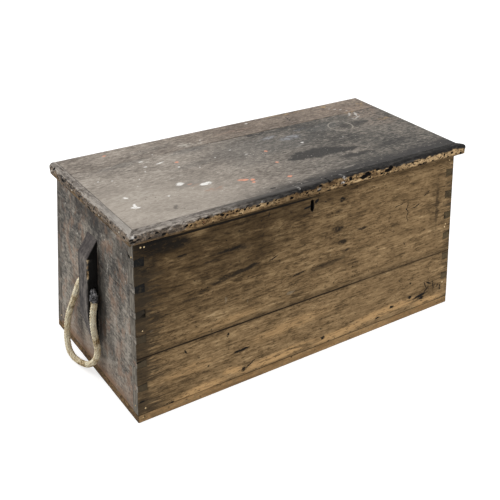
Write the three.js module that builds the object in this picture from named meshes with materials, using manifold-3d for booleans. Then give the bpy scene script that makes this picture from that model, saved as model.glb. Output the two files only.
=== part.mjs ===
// A canted pine sea chest with rope beckets, in millimetres.
// X runs along the length, Y from front to back and Z up.
// The origin is on the floor, under the middle of the bottom.

import * as THREE from 'three';
import { mergeVertices } from 'three/addons/utils/BufferGeometryUtils.js';
import Module from 'manifold-3d';

// The carcass: the outside of the base, and how far each wall leans in on its way up
const baseLength = 950;
const baseDepth = 456;
const rimHeight = 441;
const endFlare = 23;
const sideFlare = 32.5;
const boardThickness = 24;
const bottomThickness = 19;

// Where the walls and the bottom are made up of more than one board
const sideJointHeight = 163;
const endJointHeight = 306;
const bottomBoardCount = 3;
const shrinkGap = 0.8;

// The through dovetails: the pins are on the ends, the tails on the front and back
const pinCount = 6;
const lowPinMargin = 70;
const highPinMargin = 52;
const pinTipHeight = 15.5;
const dovetailSlope = 1 / 10;

// The lid lies flush with the walls, and its mouldings stand out in front and at the left
const lidThickness = 24.5;
const lidBackBoardDepth = 83;
const frontMouldingWidth = 23.5;
const endMouldingWidth = 19;
const mouldingTopRadius = 11;
const mouldingFootRadius = 4;
const mouldingTipRadius = 13;
const mouldingHeelRadius = 9;

// The two battens that hold the lid's boards together from below
const battenWidth = 50;
const battenThickness = 18;
const battenEndBevel = 12;
const battenWallGap = 16.5;
const battenTillGap = 12;

// The cleats on the ends, and the hole that each becket is rove through
const cleatLowEnd = 84;
const cleatLength = 280;
const cleatWidth = 50;
const cleatDepth = 25.5;
const cleatUpperTaper = 43;
const cleatLowerTaper = 79;
const cleatEdgeBevel = 2.5;
const holeBelowCleatTop = 126.8;
const holeFromWall = 12.4;
const holeClearance = 0.75;

// The rope of the beckets, and the seizing that joins its ends beside the cleat
const ropeRadius = 7.25;
const ropeSides = 12;
const ropeSteps = 46;
const seizingRadius = 10;
const seizingWaistRadius = 8.8;
const seizingHeight = 18.5;
const seizingTurns = 3;
const elbowRadius = 8;

// The butt hinges at the back
const hingeFromEnd = 152;
const hingeLength = 70;
const leafWidth = 20;
const leafThickness = 2.5;
const knuckleRadius = 4.5;
const knuckleCount = 5;
const knuckleOffset = 0.7;
const hingePinRadius = 2.3;
const hingePinHeadRadius = 3.4;
const hingePinHeadHeight = 1.6;
const hingeRunningGap = 0.15;
const knuckleSideGap = 0.4;

// The chest lock behind the keyhole
const lockLength = 104;
const lockHeight = 64;
const lockDepth = 18;
const lockWall = 2;
const selvageThickness = 3;
const selvageSink = 0.8;
const lockPlateThickness = 1.5;
const lockRecess = 10;
const lockBlockMargin = 9;
const keyholeBelowRim = 35.7;
const keyholeHeight = 27;
const keyholeEyeRadius = 4.2;
const keyholeSlotWidth = 7.6;
const keyPostRadius = 1.8;
const keyPostSetBack = 2.6;

// The bolt, the ledge that it slides on and the catch that hangs from the lid
const boltTailGap = 3;
const boltHeight = 11;
const boltThickness = 6;
const prongLength = 9.5;
const prongHeight = 5;
const prongThickness = 4.5;
const boltStandBack = 1.5;
const ledgeHeight = 3;
const ledgeReach = 8;
const eyeBelowRim = 13;
const catchThickness = 4;
const catchWidth = 10;
const catchEyeWidth = 5.8;
const catchEyeHeight = 7;
const catchFootHeight = 2.5;
const catchPlateLength = 54;
const catchPlateWidth = 20;
const catchPlateThickness = 2.5;
const catchSlotClearance = 1.4;

// The open till inside the left end
const tillWidth = 120;
const tillDepth = 90;
const tillBelowRim = 8;
const tillFrontThickness = 11;
const tillFloorThickness = 10;
const housingDepth = 6;

// The gap that neighbouring pieces keep, the overrun of every cut, and the fineness of round forms
const fitGap = 0.3;
const overrun = 1;
const roundSides = 32;
const arcSteps = 7;

// The becket's line from the back mouth of the hole to the seizing: across the wall towards the
// seizing, up the wall and out from it, all measured from the middle of the hole
const becketRoute = [
  [-25.6, 0, 0], [-32, 0, 0], [-39.5, -3, -0.1], [-47, -9.5, -0.4], [-55.5, -20, -1],
  [-66, -35.5, -1.8], [-77.5, -56, -1.9], [-88.5, -80.5, -0.2], [-97, -105, 3.6], [-102.3, -127, 8],
  [-103.5, -147, 11.6],
  [-100, -171, 15.4], [-91, -194, 19.2], [-75, -212, 21.4], [-56, -221.5, 19.6], [-37, -224, 15.2],
  [-18, -222, 10.4], [0, -215, 6.6], [18, -201, 3], [32, -183, 0.6], [40, -164, -0.4],
  [44, -145, 0.4], [44.4, -127, 3], [42.4, -107, 5.8], [39.4, -82, 7.6], [37.2, -57, 7],
  [36.5, -39, 4.4], [36.5, -30, 3.1], [36.5, -22, 3.1],
];

const wasm = await Module();
wasm.setup();

const xAxis = new THREE.Vector3(1, 0, 0);
const yAxis = new THREE.Vector3(0, 1, 0);
const zAxis = new THREE.Vector3(0, 0, 1);

const walls = {
  front: { out: yAxis.clone().negate(), half: baseDepth / 2, flare: sideFlare },
  back: { out: yAxis.clone(), half: baseDepth / 2, flare: sideFlare },
  left: { out: xAxis.clone().negate(), half: baseLength / 2, flare: endFlare },
  right: { out: xAxis.clone(), half: baseLength / 2, flare: endFlare },
};

const rimHalfLength = baseLength / 2 - endFlare;
const rimHalfDepth = baseDepth / 2 - sideFlare;
const wallFoot = bottomThickness + fitGap;
const lidUnderside = rimHeight + fitGap;

function finish(colour, roughness, metalness = 0) {
  return new THREE.MeshStandardMaterial({ color: colour, roughness, metalness });
}

const barePine = finish(0x6f5a3e, 0.85);
const darkPine = finish(0x4a4641, 0.8);
const lidPaint = finish(0x4b4947, 0.75);
const innerPine = finish(0x8b6f4a, 0.85);
const wornEdge = finish(0x8a7049, 0.85);
const cleatWood = finish(0x55514d, 0.8);
const strawRope = finish(0xa8977a, 0.95);
const tarredTwine = finish(0x35353a, 0.7);
const rustyIron = finish(0x3d2f27, 0.65, 0.6);

// Solids and meshes

function solid(geometry, placement) {
  const bare = geometry.clone();
  bare.deleteAttribute('normal');
  bare.deleteAttribute('uv');
  if (placement) bare.applyMatrix4(placement);
  const merged = mergeVertices(bare);
  return new wasm.Manifold(new wasm.Mesh({
    numProp: 3,
    vertProperties: merged.attributes.position.array,
    triVerts: new Uint32Array(merged.index.array),
  }));
}

function piece(name, shape, material) {
  const { vertProperties, triVerts } = shape.getMesh();
  const geometry = new THREE.BufferGeometry();
  geometry.setAttribute('position', new THREE.BufferAttribute(new Float32Array(vertProperties), 3));
  geometry.setIndex(new THREE.BufferAttribute(new Uint32Array(triVerts), 1));
  geometry.computeVertexNormals();
  const mesh = new THREE.Mesh(geometry, material);
  mesh.name = name;
  return mesh;
}

function box(low, high) {
  const size = new THREE.Vector3().subVectors(high, low);
  const middle = new THREE.Vector3().addVectors(low, high).divideScalar(2);
  return solid(
    new THREE.BoxGeometry(size.x, size.y, size.z),
    new THREE.Matrix4().makeTranslation(middle.x, middle.y, middle.z),
  );
}

function point(x, y, z) {
  return new THREE.Vector3(x, y, z);
}

// A bar of round section along X, centred on the origin
function rod(radius, length) {
  return solid(
    new THREE.CylinderGeometry(radius, radius, length, roundSides),
    new THREE.Matrix4().makeRotationZ(Math.PI / 2),
  );
}

// An outline extruded from the origin along its own Z, with its axes laid along the given ones
function extruded(shape, depth, across, up, start) {
  const frame = new THREE.Matrix4().makeBasis(across, up, across.clone().cross(up));
  frame.setPosition(start);
  return solid(new THREE.ExtrudeGeometry(shape, {
    depth, bevelEnabled: false, curveSegments: arcSteps,
  }), frame);
}

// Planes: a wall's face at a depth below its outside, and level or upright planes

function wallNormal(wall) {
  return wall.out.clone().multiplyScalar(rimHeight).setZ(wall.flare).normalize();
}

function wallPlane(wall, inset) {
  const foot = wall.out.clone().multiplyScalar(wall.half);
  const plane = new THREE.Plane().setFromNormalAndCoplanarPoint(wallNormal(wall), foot);
  plane.constant += inset;
  return plane;
}

const level = (height) => new THREE.Plane(zAxis, -height);
const lengthwise = (x) => new THREE.Plane(xAxis, -x);
const depthwise = (y) => new THREE.Plane(yAxis, -y);

// The two planes that hold a layer of a wall, under the names of the block's faces
function layer(wall, outer, inner) {
  const planes = [wallPlane(wall, outer), wallPlane(wall, inner)];
  if (wall.out.x + wall.out.y > 0) planes.reverse();
  const [first, second] = planes;
  return wall.out.x ? { left: first, right: second } : { front: first, back: second };
}

function meetingPoint(a, b, c) {
  const volume = a.normal.dot(b.normal.clone().cross(c.normal));
  return b.normal.clone().cross(c.normal).multiplyScalar(-a.constant)
    .addScaledVector(c.normal.clone().cross(a.normal), -b.constant)
    .addScaledVector(a.normal.clone().cross(b.normal), -c.constant)
    .divideScalar(volume);
}

// A six-sided block, whose corners are where its faces' planes meet
function block({ left, right, front, back, low, high }) {
  const geometry = new THREE.BoxGeometry(1, 1, 1);
  const corners = geometry.attributes.position;
  for (let i = 0; i < corners.count; i++) {
    const corner = meetingPoint(
      corners.getX(i) < 0 ? left : right,
      corners.getY(i) < 0 ? front : back,
      corners.getZ(i) < 0 ? low : high,
    );
    corners.setXYZ(i, corner.x, corner.y, corner.z);
  }
  return solid(geometry);
}

// A slice right through the carcass between two heights
function slice(low, high) {
  return block({
    left: wallPlane(walls.left, -overrun), right: wallPlane(walls.right, -overrun),
    front: wallPlane(walls.front, -overrun), back: wallPlane(walls.back, -overrun),
    low: level(low), high: level(high),
  });
}

// A group on a wall's outside: X across the face, Y up it and Z out of it, from the foot's middle
function wallFrame(wall) {
  const normal = wallNormal(wall);
  const across = zAxis.clone().cross(wall.out);
  const up = normal.clone().cross(across);
  const frame = new THREE.Group();
  frame.quaternion.setFromRotationMatrix(new THREE.Matrix4().makeBasis(across, up, normal));
  frame.position.copy(wall.out).multiplyScalar(wall.half);
  frame.updateMatrixWorld();
  return frame;
}

const frontFrame = wallFrame(walls.front);
const endFrames = { left: wallFrame(walls.left), right: wallFrame(walls.right) };
const chest = new THREE.Group();
chest.add(frontFrame, endFrames.left, endFrames.right);

// The dovetails

function pinHeights() {
  const lowest = bottomThickness + lowPinMargin;
  const pitch = (rimHeight - highPinMargin - lowest) / (pinCount - 1);
  return Array.from({ length: pinCount }, (_, i) => lowest + i * pitch);
}

// The flank of a pin, above it or below it: square to the side's face, and opening inwards
function pinFlank(end, side, height, upward, clearance) {
  const normal = wallNormal(side);
  const up = zAxis.clone().addScaledVector(normal, -normal.z).normalize();
  const run = end.out.clone().negate().addScaledVector(up, upward * dovetailSlope);
  const outward = run.cross(normal).normalize();
  if (outward.z * upward < 0) outward.negate();
  const tip = meetingPoint(
    wallPlane(end, 0), wallPlane(side, 0), level(height + upward * pinTipHeight / 2),
  );
  const plane = new THREE.Plane().setFromNormalAndCoplanarPoint(outward, tip);
  plane.constant -= clearance;
  return plane;
}

function pin(end, side, height) {
  return block({
    ...layer(end, 0, boardThickness),
    ...layer(side, 0, boardThickness + fitGap + overrun),
    low: pinFlank(end, side, height, -1, 0),
    high: pinFlank(end, side, height, 1, 0),
  });
}

function pinSocket(end, side, height) {
  return block({
    ...layer(end, -overrun, boardThickness + fitGap),
    ...layer(side, -overrun, boardThickness + overrun),
    low: pinFlank(end, side, height, -1, fitGap),
    high: pinFlank(end, side, height, 1, fitGap),
  });
}

// The walls, each made whole with its joints and then parted into its two boards

function sidePanel(side) {
  let panel = block({
    ...layer(side, 0, boardThickness),
    left: wallPlane(walls.left, 0), right: wallPlane(walls.right, 0),
    low: level(wallFoot), high: level(rimHeight),
  });
  for (const end of [walls.left, walls.right]) {
    for (const height of pinHeights()) panel = panel.subtract(pinSocket(end, side, height));
  }
  return panel;
}

function endPanel(end) {
  let panel = block({
    ...layer(end, 0, boardThickness),
    front: wallPlane(walls.front, boardThickness + fitGap),
    back: wallPlane(walls.back, boardThickness + fitGap),
    low: level(wallFoot), high: level(rimHeight),
  });
  for (const side of [walls.front, walls.back]) {
    for (const height of pinHeights()) panel = panel.add(pin(end, side, height));
  }
  return panel;
}

function addBoards(panel, jointHeight, name, material) {
  const lower = panel.intersect(slice(0, jointHeight - shrinkGap / 2));
  const upper = panel.intersect(slice(jointHeight + shrinkGap / 2, rimHeight + overrun));
  chest.add(piece(`${name}_lower_board`, lower, material));
  chest.add(piece(`${name}_upper_board`, upper, material));
}

function addBottom() {
  const names = ['front', 'middle', 'back'];
  const pitch = baseDepth / bottomBoardCount;
  for (let i = 0; i < bottomBoardCount; i++) {
    const start = -baseDepth / 2 + i * pitch;
    const board = block({
      left: wallPlane(walls.left, 0), right: wallPlane(walls.right, 0),
      front: i ? depthwise(start + shrinkGap / 2) : wallPlane(walls.front, 0),
      back: i < bottomBoardCount - 1 ? depthwise(start + pitch - shrinkGap / 2) : wallPlane(walls.back, 0),
      low: level(0), high: level(bottomThickness),
    });
    chest.add(piece(`bottom_${names[i] ?? i}_board`, board, wornEdge));
  }
}

// The till: its front and floor are let into housings in the walls

const tillFrontX = -rimHalfLength + boardThickness + tillWidth;
const tillTop = rimHeight - tillBelowRim;
const tillFloorTop = tillTop - tillDepth;
const tillFoot = tillFloorTop - tillFloorThickness;

function tillFrontBlock(clearance, top) {
  const inset = boardThickness - housingDepth + fitGap - clearance;
  return block({
    left: lengthwise(tillFrontX - clearance),
    right: lengthwise(tillFrontX + tillFrontThickness + clearance),
    front: wallPlane(walls.front, inset), back: wallPlane(walls.back, inset),
    low: level(tillFoot - clearance), high: level(top),
  });
}

function tillFloorBlock(clearance) {
  const inset = boardThickness - housingDepth + fitGap - clearance;
  return block({
    left: wallPlane(walls.left, inset), right: lengthwise(tillFrontX - fitGap + clearance),
    front: wallPlane(walls.front, inset), back: wallPlane(walls.back, inset),
    low: level(tillFoot - clearance), high: level(tillFloorTop + clearance),
  });
}

function withTillHousing(panel) {
  return panel
    .subtract(tillFrontBlock(fitGap, rimHeight + overrun))
    .subtract(tillFloorBlock(fitGap));
}

function addTill() {
  chest.add(piece('till_front', tillFrontBlock(0, tillTop), innerPine));
  chest.add(piece('till_floor', tillFloorBlock(0), innerPine));
}

// The lock, in the front wall's frame

const rimAlongFace = Math.hypot(rimHeight, sideFlare);
const lockTop = rimAlongFace - selvageSink;
const lockFoot = lockTop - lockHeight;
const pocketFloor = lockRecess - boardThickness;
const lockPlateFront = pocketFloor - fitGap;
const lockPlateBack = lockPlateFront - lockPlateThickness;
const caseFront = lockPlateBack - fitGap;
const caseBack = caseFront - lockDepth;
const cavityBack = caseBack + lockWall;
const cavityMiddle = (caseFront + cavityBack) / 2;
const catchEye = point(0, rimAlongFace - eyeBelowRim, cavityMiddle);
const keyholeTop = rimAlongFace - keyholeBelowRim + keyholeHeight / 2;
const keyholeEye = keyholeTop - keyholeEyeRadius;
const boltTip = -catchThickness / 2 - boltStandBack;
const boltShoulder = boltTip - prongLength;
const boltTail = -lockLength / 2 + lockWall + boltTailGap;

function keyholeShape() {
  const halfSlot = keyholeSlotWidth / 2;
  const meeting = Math.asin(halfSlot / keyholeEyeRadius);
  const slotFoot = keyholeTop - keyholeHeight + halfSlot;
  const shape = new THREE.Shape();
  shape.absarc(0, keyholeEye, keyholeEyeRadius, -Math.PI / 2 + meeting, Math.PI * 1.5 - meeting, false);
  shape.absarc(0, slotFoot, halfSlot, Math.PI, Math.PI * 2, false);
  shape.closePath();
  return shape;
}

function keyholeCut() {
  return extruded(keyholeShape(), lockDepth + boardThickness, xAxis, yAxis, point(0, 0, caseFront));
}

function withLockPocket(panel) {
  const pocket = box(
    point(-lockLength / 2 - fitGap, lockFoot - fitGap, -boardThickness - overrun),
    point(lockLength / 2 + fitGap, rimAlongFace + boardThickness, pocketFloor),
  );
  const placed = pocket.add(keyholeCut()).transform(frontFrame.matrixWorld.toArray());
  return panel.subtract(placed);
}

// The piece of the upper board round the lock, which is let in at the rim
function lockBlockSpace(clearance) {
  const reach = lockLength / 2 + fitGap + lockBlockMargin + clearance;
  return box(
    point(-reach, lockFoot - fitGap - lockBlockMargin - clearance, -boardThickness - overrun),
    point(reach, rimAlongFace + boardThickness, overrun),
  ).transform(frontFrame.matrixWorld.toArray());
}

function lockPlate() {
  return box(
    point(-lockLength / 2, lockFoot, lockPlateBack),
    point(lockLength / 2, lockTop, lockPlateFront),
  ).subtract(keyholeCut());
}

function lockCase() {
  const outside = box(
    point(-lockLength / 2, lockFoot, caseBack), point(lockLength / 2, lockTop, caseFront),
  );
  const cavity = box(
    point(-lockLength / 2 + lockWall, lockFoot + lockWall, cavityBack),
    point(lockLength / 2 - lockWall, lockTop - selvageThickness, caseFront + overrun),
  );
  const slotHalfLength = catchThickness / 2 + catchSlotClearance;
  const slotHalfWidth = catchWidth / 2 + catchSlotClearance;
  const slot = box(
    point(-slotHalfLength, lockTop - selvageThickness - overrun, cavityMiddle - slotHalfWidth),
    point(slotHalfLength, lockTop + overrun, cavityMiddle + slotHalfWidth),
  );
  const post = solid(
    new THREE.CylinderGeometry(
      keyPostRadius, keyPostRadius, caseFront - keyPostSetBack - caseBack, roundSides,
    ).rotateX(Math.PI / 2),
    new THREE.Matrix4().makeTranslation(0, keyholeEye, (caseFront - keyPostSetBack + caseBack) / 2),
  );
  const ledgeTop = catchEye.y - boltHeight / 2 - fitGap;
  const ledge = box(
    point(boltTail, ledgeTop - ledgeHeight, caseBack + lockWall / 2),
    point(boltShoulder + ledgeReach, ledgeTop, cavityMiddle + boltThickness / 2),
  );
  return outside.subtract(cavity).subtract(slot).add(post).add(ledge);
}

function lockBolt() {
  const prong = box(
    point(boltShoulder - overrun, catchEye.y - prongHeight / 2, cavityMiddle - prongThickness / 2),
    point(boltTip, catchEye.y + prongHeight / 2, cavityMiddle + prongThickness / 2),
  );
  const bar = box(
    point(boltTail, catchEye.y - boltHeight / 2, cavityMiddle - boltThickness / 2),
    point(boltShoulder, catchEye.y + boltHeight / 2, cavityMiddle + boltThickness / 2),
  );
  return bar.add(prong);
}

function addLock() {
  frontFrame.add(piece('lock_plate', lockPlate(), rustyIron));
  frontFrame.add(piece('lock_case', lockCase(), rustyIron));
  frontFrame.add(piece('lock_bolt', lockBolt(), rustyIron));
}

// The catch hangs from a plate let into the lid, and its eye comes down in front of the bolt

const eyeInChest = frontFrame.localToWorld(catchEye.clone());

function catchPlate(clearance, foot) {
  return box(
    point(-catchPlateLength / 2 - clearance, eyeInChest.y - catchPlateWidth / 2 - clearance, foot),
    point(
      catchPlateLength / 2 + clearance, eyeInChest.y + catchPlateWidth / 2 + clearance,
      lidUnderside + catchPlateThickness + clearance,
    ),
  );
}

function lidCatch() {
  const halfEye = catchEyeHeight / 2;
  const tongue = box(
    point(-catchThickness / 2, eyeInChest.y - catchWidth / 2, eyeInChest.z - halfEye - catchFootHeight),
    point(catchThickness / 2, eyeInChest.y + catchWidth / 2, lidUnderside + catchPlateThickness / 2),
  );
  const eye = box(
    point(-catchThickness, eyeInChest.y - catchEyeWidth / 2, eyeInChest.z - halfEye),
    point(catchThickness, eyeInChest.y + catchEyeWidth / 2, eyeInChest.z + halfEye),
  );
  return catchPlate(0, lidUnderside).add(tongue).subtract(eye);
}

// The hinges: each leaf is a plate let into the wood, with knuckles bored for the pin

const hingeY = rimHalfDepth + knuckleOffset + knuckleRadius;
const hingeZ = rimHeight + fitGap / 2;

function knuckles(radius, first, sideGap) {
  const pitch = hingeLength / knuckleCount;
  let row = null;
  for (let i = first; i < knuckleCount; i += 2) {
    const middle = -hingeLength / 2 + (i + 0.5) * pitch;
    const knuckle = rod(radius, pitch - sideGap).translate([middle, 0, 0]);
    row = row ? row.add(knuckle) : knuckle;
  }
  return row;
}

function leafPlate(lift, clearance, back) {
  return box(
    point(-hingeLength / 2 - clearance, rimHalfDepth - leafWidth - clearance - hingeY, lift - clearance),
    point(hingeLength / 2 + clearance, back, lift + leafThickness + clearance),
  );
}

const lowerLeafLift = rimHeight - leafThickness - hingeZ;
const upperLeafLift = lidUnderside - hingeZ;

function leaf(lift, first) {
  const others = knuckles(knuckleRadius + knuckleOffset / 2, 1 - first, -knuckleSideGap);
  return leafPlate(lift, 0, 0)
    .subtract(others)
    .add(knuckles(knuckleRadius, first, knuckleSideGap))
    .subtract(rod(hingePinRadius + hingeRunningGap, hingeLength + overrun * 2));
}

function hingePin() {
  const heads = [-1, 1].map((end) => rod(hingePinHeadRadius, hingePinHeadHeight).translate([
    end * (hingeLength / 2 + fitGap + hingePinHeadHeight / 2), 0, 0,
  ]));
  const shank = rod(hingePinRadius, hingeLength + fitGap * 2 + hingePinHeadHeight);
  return shank.add(heads[0]).add(heads[1]);
}

const hingePlaces = { left: hingeFromEnd - rimHalfLength, right: rimHalfLength - hingeFromEnd };

function withMortises(wood, lift) {
  let cut = wood;
  for (const x of Object.values(hingePlaces)) {
    cut = cut.subtract(leafPlate(lift, fitGap, knuckleRadius).translate([x, hingeY, hingeZ]));
  }
  return cut;
}

// The mortise is as deep as the leaf and open to the face that the leaf lies in
function withRimMortises(panel) {
  return withMortises(withMortises(panel, lowerLeafLift), lowerLeafLift + fitGap);
}

function withLidMortises(board) {
  return withMortises(withMortises(board, upperLeafLift), upperLeafLift - fitGap);
}

function addHinges() {
  for (const [side, x] of Object.entries(hingePlaces)) {
    const hinge = new THREE.Group();
    hinge.position.set(x, hingeY, hingeZ);
    hinge.add(piece(`${side}_hinge_lower_leaf`, leaf(lowerLeafLift, 0), rustyIron));
    hinge.add(piece(`${side}_hinge_upper_leaf`, leaf(upperLeafLift, 1), rustyIron));
    hinge.add(piece(`${side}_hinge_pin`, hingePin(), rustyIron));
    chest.add(hinge);
  }
}

// The lid: two boards, two mouldings and two battens

const lidTop = lidUnderside + lidThickness;
const lidJointY = rimHalfDepth - lidBackBoardDepth;

function mouldingProfile(width) {
  const shape = new THREE.Shape();
  shape.moveTo(0, 0);
  shape.absarc(width - mouldingFootRadius, mouldingFootRadius, mouldingFootRadius, -Math.PI / 2, 0, false);
  shape.absarc(
    width - mouldingTopRadius, lidThickness - mouldingTopRadius, mouldingTopRadius, 0, Math.PI / 2, false,
  );
  shape.lineTo(0, lidThickness);
  shape.closePath();
  return shape;
}

// The front moulding's outline from above: mitred at both ends, with the right tip worn round
function frontMouldingPlan() {
  const inner = -rimHalfDepth - fitGap;
  const outer = -rimHalfDepth - frontMouldingWidth - overrun;
  const tip = rimHalfLength + endMouldingWidth;
  const mitre = new THREE.Vector2(endMouldingWidth, -frontMouldingWidth).normalize();
  const shape = new THREE.Shape();
  shape.moveTo(-rimHalfLength, inner);
  shape.lineTo(-tip, outer);
  shape.lineTo(tip - mouldingTipRadius, outer);
  shape.quadraticCurveTo(
    tip, outer, tip - mitre.x * mouldingTipRadius, outer - mitre.y * mouldingTipRadius,
  );
  shape.lineTo(rimHalfLength, inner);
  shape.closePath();
  return shape;
}

// The left moulding's outline from above: mitred in front, with the back corner worn round
function leftMouldingPlan() {
  const mitreLength = Math.hypot(endMouldingWidth, frontMouldingWidth);
  const shift = fitGap * mitreLength / endMouldingWidth;
  const inner = -rimHalfLength - fitGap;
  const outer = -rimHalfLength - endMouldingWidth - overrun;
  const shape = new THREE.Shape();
  shape.moveTo(inner, -rimHalfDepth + shift);
  shape.lineTo(inner, rimHalfDepth);
  shape.lineTo(outer + mouldingHeelRadius, rimHalfDepth);
  shape.quadraticCurveTo(outer, rimHalfDepth, outer, rimHalfDepth - mouldingHeelRadius);
  shape.lineTo(outer, -rimHalfDepth - frontMouldingWidth + shift);
  shape.closePath();
  return shape;
}

function planPrism(shape) {
  return extruded(shape, lidThickness + overrun * 2, xAxis, yAxis, point(0, 0, lidUnderside - overrun));
}

function frontMoulding() {
  const reach = rimHalfLength + endMouldingWidth;
  const start = point(reach, -rimHalfDepth, lidUnderside);
  const strip = extruded(
    mouldingProfile(frontMouldingWidth), reach * 2, walls.front.out, zAxis, start,
  );
  return strip.intersect(planPrism(frontMouldingPlan()));
}

function leftMoulding() {
  const start = point(-rimHalfLength, -rimHalfDepth - frontMouldingWidth, lidUnderside);
  const strip = extruded(
    mouldingProfile(endMouldingWidth), rimHalfDepth * 2 + frontMouldingWidth, walls.left.out, zAxis, start,
  );
  return strip.intersect(planPrism(leftMouldingPlan()));
}

function lidBoard(front, back) {
  return box(point(-rimHalfLength, front, lidUnderside), point(rimHalfLength, back, lidTop));
}

function batten() {
  const half = rimHalfDepth - boardThickness - battenWallGap;
  const shape = new THREE.Shape();
  shape.moveTo(-half, 0);
  shape.lineTo(-half, -battenThickness + battenEndBevel);
  shape.lineTo(-half + battenEndBevel, -battenThickness);
  shape.lineTo(half - battenEndBevel, -battenThickness);
  shape.lineTo(half, -battenThickness + battenEndBevel);
  shape.lineTo(half, 0);
  shape.closePath();
  return extruded(shape, battenWidth, yAxis, zAxis, point(-battenWidth / 2, 0, 0));
}

function addLid() {
  const frontBoard = lidBoard(-rimHalfDepth, lidJointY - shrinkGap / 2)
    .subtract(catchPlate(fitGap, lidUnderside - overrun));
  const backBoard = withLidMortises(lidBoard(lidJointY + shrinkGap / 2, rimHalfDepth));
  chest.add(piece('lid_front_board', frontBoard, lidPaint));
  chest.add(piece('lid_back_board', backBoard, lidPaint));
  chest.add(piece('lid_front_moulding', frontMoulding(), wornEdge));
  chest.add(piece('lid_left_moulding', leftMoulding(), lidPaint));
  chest.add(piece('lid_catch', lidCatch(), rustyIron));
  const battenX = tillFrontX + tillFrontThickness + battenTillGap + battenWidth / 2;
  for (const [name, x] of [['left', battenX], ['right', -battenX]]) {
    const mesh = piece(`lid_${name}_batten`, batten(), innerPine);
    mesh.position.set(x, 0, lidUnderside - fitGap);
    chest.add(mesh);
  }
}

// The beckets, in the end walls' frames

const cleatTop = cleatLowEnd + cleatLength;
const holeHeight = cleatTop - holeBelowCleatTop;

function cleat() {
  const shape = new THREE.Shape();
  shape.moveTo(cleatLowEnd, 0);
  shape.lineTo(cleatTop, 0);
  shape.lineTo(cleatTop - cleatUpperTaper, cleatDepth);
  shape.lineTo(cleatLowEnd + cleatLowerTaper, cleatDepth);
  shape.closePath();
  const frame = new THREE.Matrix4().makeBasis(yAxis, zAxis, xAxis);
  frame.setPosition(-cleatWidth / 2 + cleatEdgeBevel, 0, 0);
  const body = solid(new THREE.ExtrudeGeometry(shape, {
    depth: cleatWidth - cleatEdgeBevel * 2,
    bevelEnabled: true, bevelSegments: 1,
    bevelThickness: cleatEdgeBevel, bevelSize: cleatEdgeBevel, bevelOffset: -cleatEdgeBevel,
  }), frame);
  const bed = box(
    point(-cleatWidth, cleatLowEnd, -cleatDepth),
    point(cleatWidth, cleatTop, fitGap),
  );
  const hole = rod(ropeRadius + holeClearance, cleatWidth * 2).translate([0, holeHeight, holeFromWall]);
  return body.subtract(bed).subtract(hole);
}

function ropeSection() {
  const corners = Array.from({ length: ropeSides }, (_, i) => {
    const turn = (i / ropeSides) * Math.PI * 2;
    return new THREE.Vector2(Math.cos(turn), Math.sin(turn)).multiplyScalar(ropeRadius);
  });
  return new THREE.Shape(corners);
}

function becketRope() {
  const line = new THREE.CatmullRomCurve3(becketRoute.map(([across, up, out]) => point(across, up, out)));
  return solid(new THREE.ExtrudeGeometry(ropeSection(), { steps: ropeSteps, extrudePath: line }));
}

// The rope's hidden run through the cleat, its elbow, and the turns of twine below it
function becketSeizing() {
  const start = becketRoute[0][0] + fitGap;
  const elbowAcross = cleatWidth / 2 + fitGap * 2 + elbowRadius;
  const run = rod(ropeRadius, elbowAcross - start).translate([(elbowAcross + start) / 2, 0, 0]);
  const elbow = solid(new THREE.SphereGeometry(elbowRadius, roundSides / 2, arcSteps))
    .translate([elbowAcross, 0, 0]);
  const turnHeight = seizingHeight / seizingTurns;
  const profile = [new THREE.Vector2(0, 0), new THREE.Vector2(seizingWaistRadius, 0)];
  for (let turn = 0; turn < seizingTurns; turn++) {
    const crest = (turn + 0.5) * turnHeight;
    profile.push(new THREE.Vector2(seizingRadius, crest - turnHeight / 4));
    profile.push(new THREE.Vector2(seizingRadius, crest + turnHeight / 4));
    profile.push(new THREE.Vector2(seizingWaistRadius, crest + turnHeight / 2));
  }
  profile.push(new THREE.Vector2(0, seizingHeight));
  const [across, ropeEnd, standOff] = becketRoute.at(-1);
  const turns = solid(
    new THREE.LatheGeometry(profile, roundSides / 2),
    new THREE.Matrix4().makeTranslation(across, ropeEnd + fitGap, standOff),
  );
  return run.add(elbow).add(turns);
}

function addBecket(side) {
  const frame = endFrames[side];
  frame.add(piece(`${side}_becket_cleat`, cleat(), cleatWood));
  const becket = new THREE.Group();
  becket.position.set(0, holeHeight, holeFromWall);
  becket.add(piece(`${side}_becket_rope`, becketRope(), strawRope));
  becket.add(piece(`${side}_becket_seizing`, becketSeizing(), tarredTwine));
  frame.add(becket);
}

// The whole chest

addBottom();
const frontPanel = withTillHousing(withLockPocket(sidePanel(walls.front)));
addBoards(frontPanel.subtract(lockBlockSpace(fitGap)), sideJointHeight, 'front', barePine);
chest.add(piece('front_lock_block', frontPanel.intersect(lockBlockSpace(0)), barePine));
addBoards(withTillHousing(withRimMortises(sidePanel(walls.back))), sideJointHeight, 'back', darkPine);
addBoards(withTillHousing(endPanel(walls.left)), endJointHeight, 'left_end', darkPine);
addBoards(endPanel(walls.right), endJointHeight, 'right_end', darkPine);
addTill();
addLock();
addLid();
addHinges();
addBecket('left');
addBecket('right');

export default chest;
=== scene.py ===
# Sea chest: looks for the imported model
import math
import random

import bmesh
import bpy
from mathutils import Matrix, Vector, noise


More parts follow.
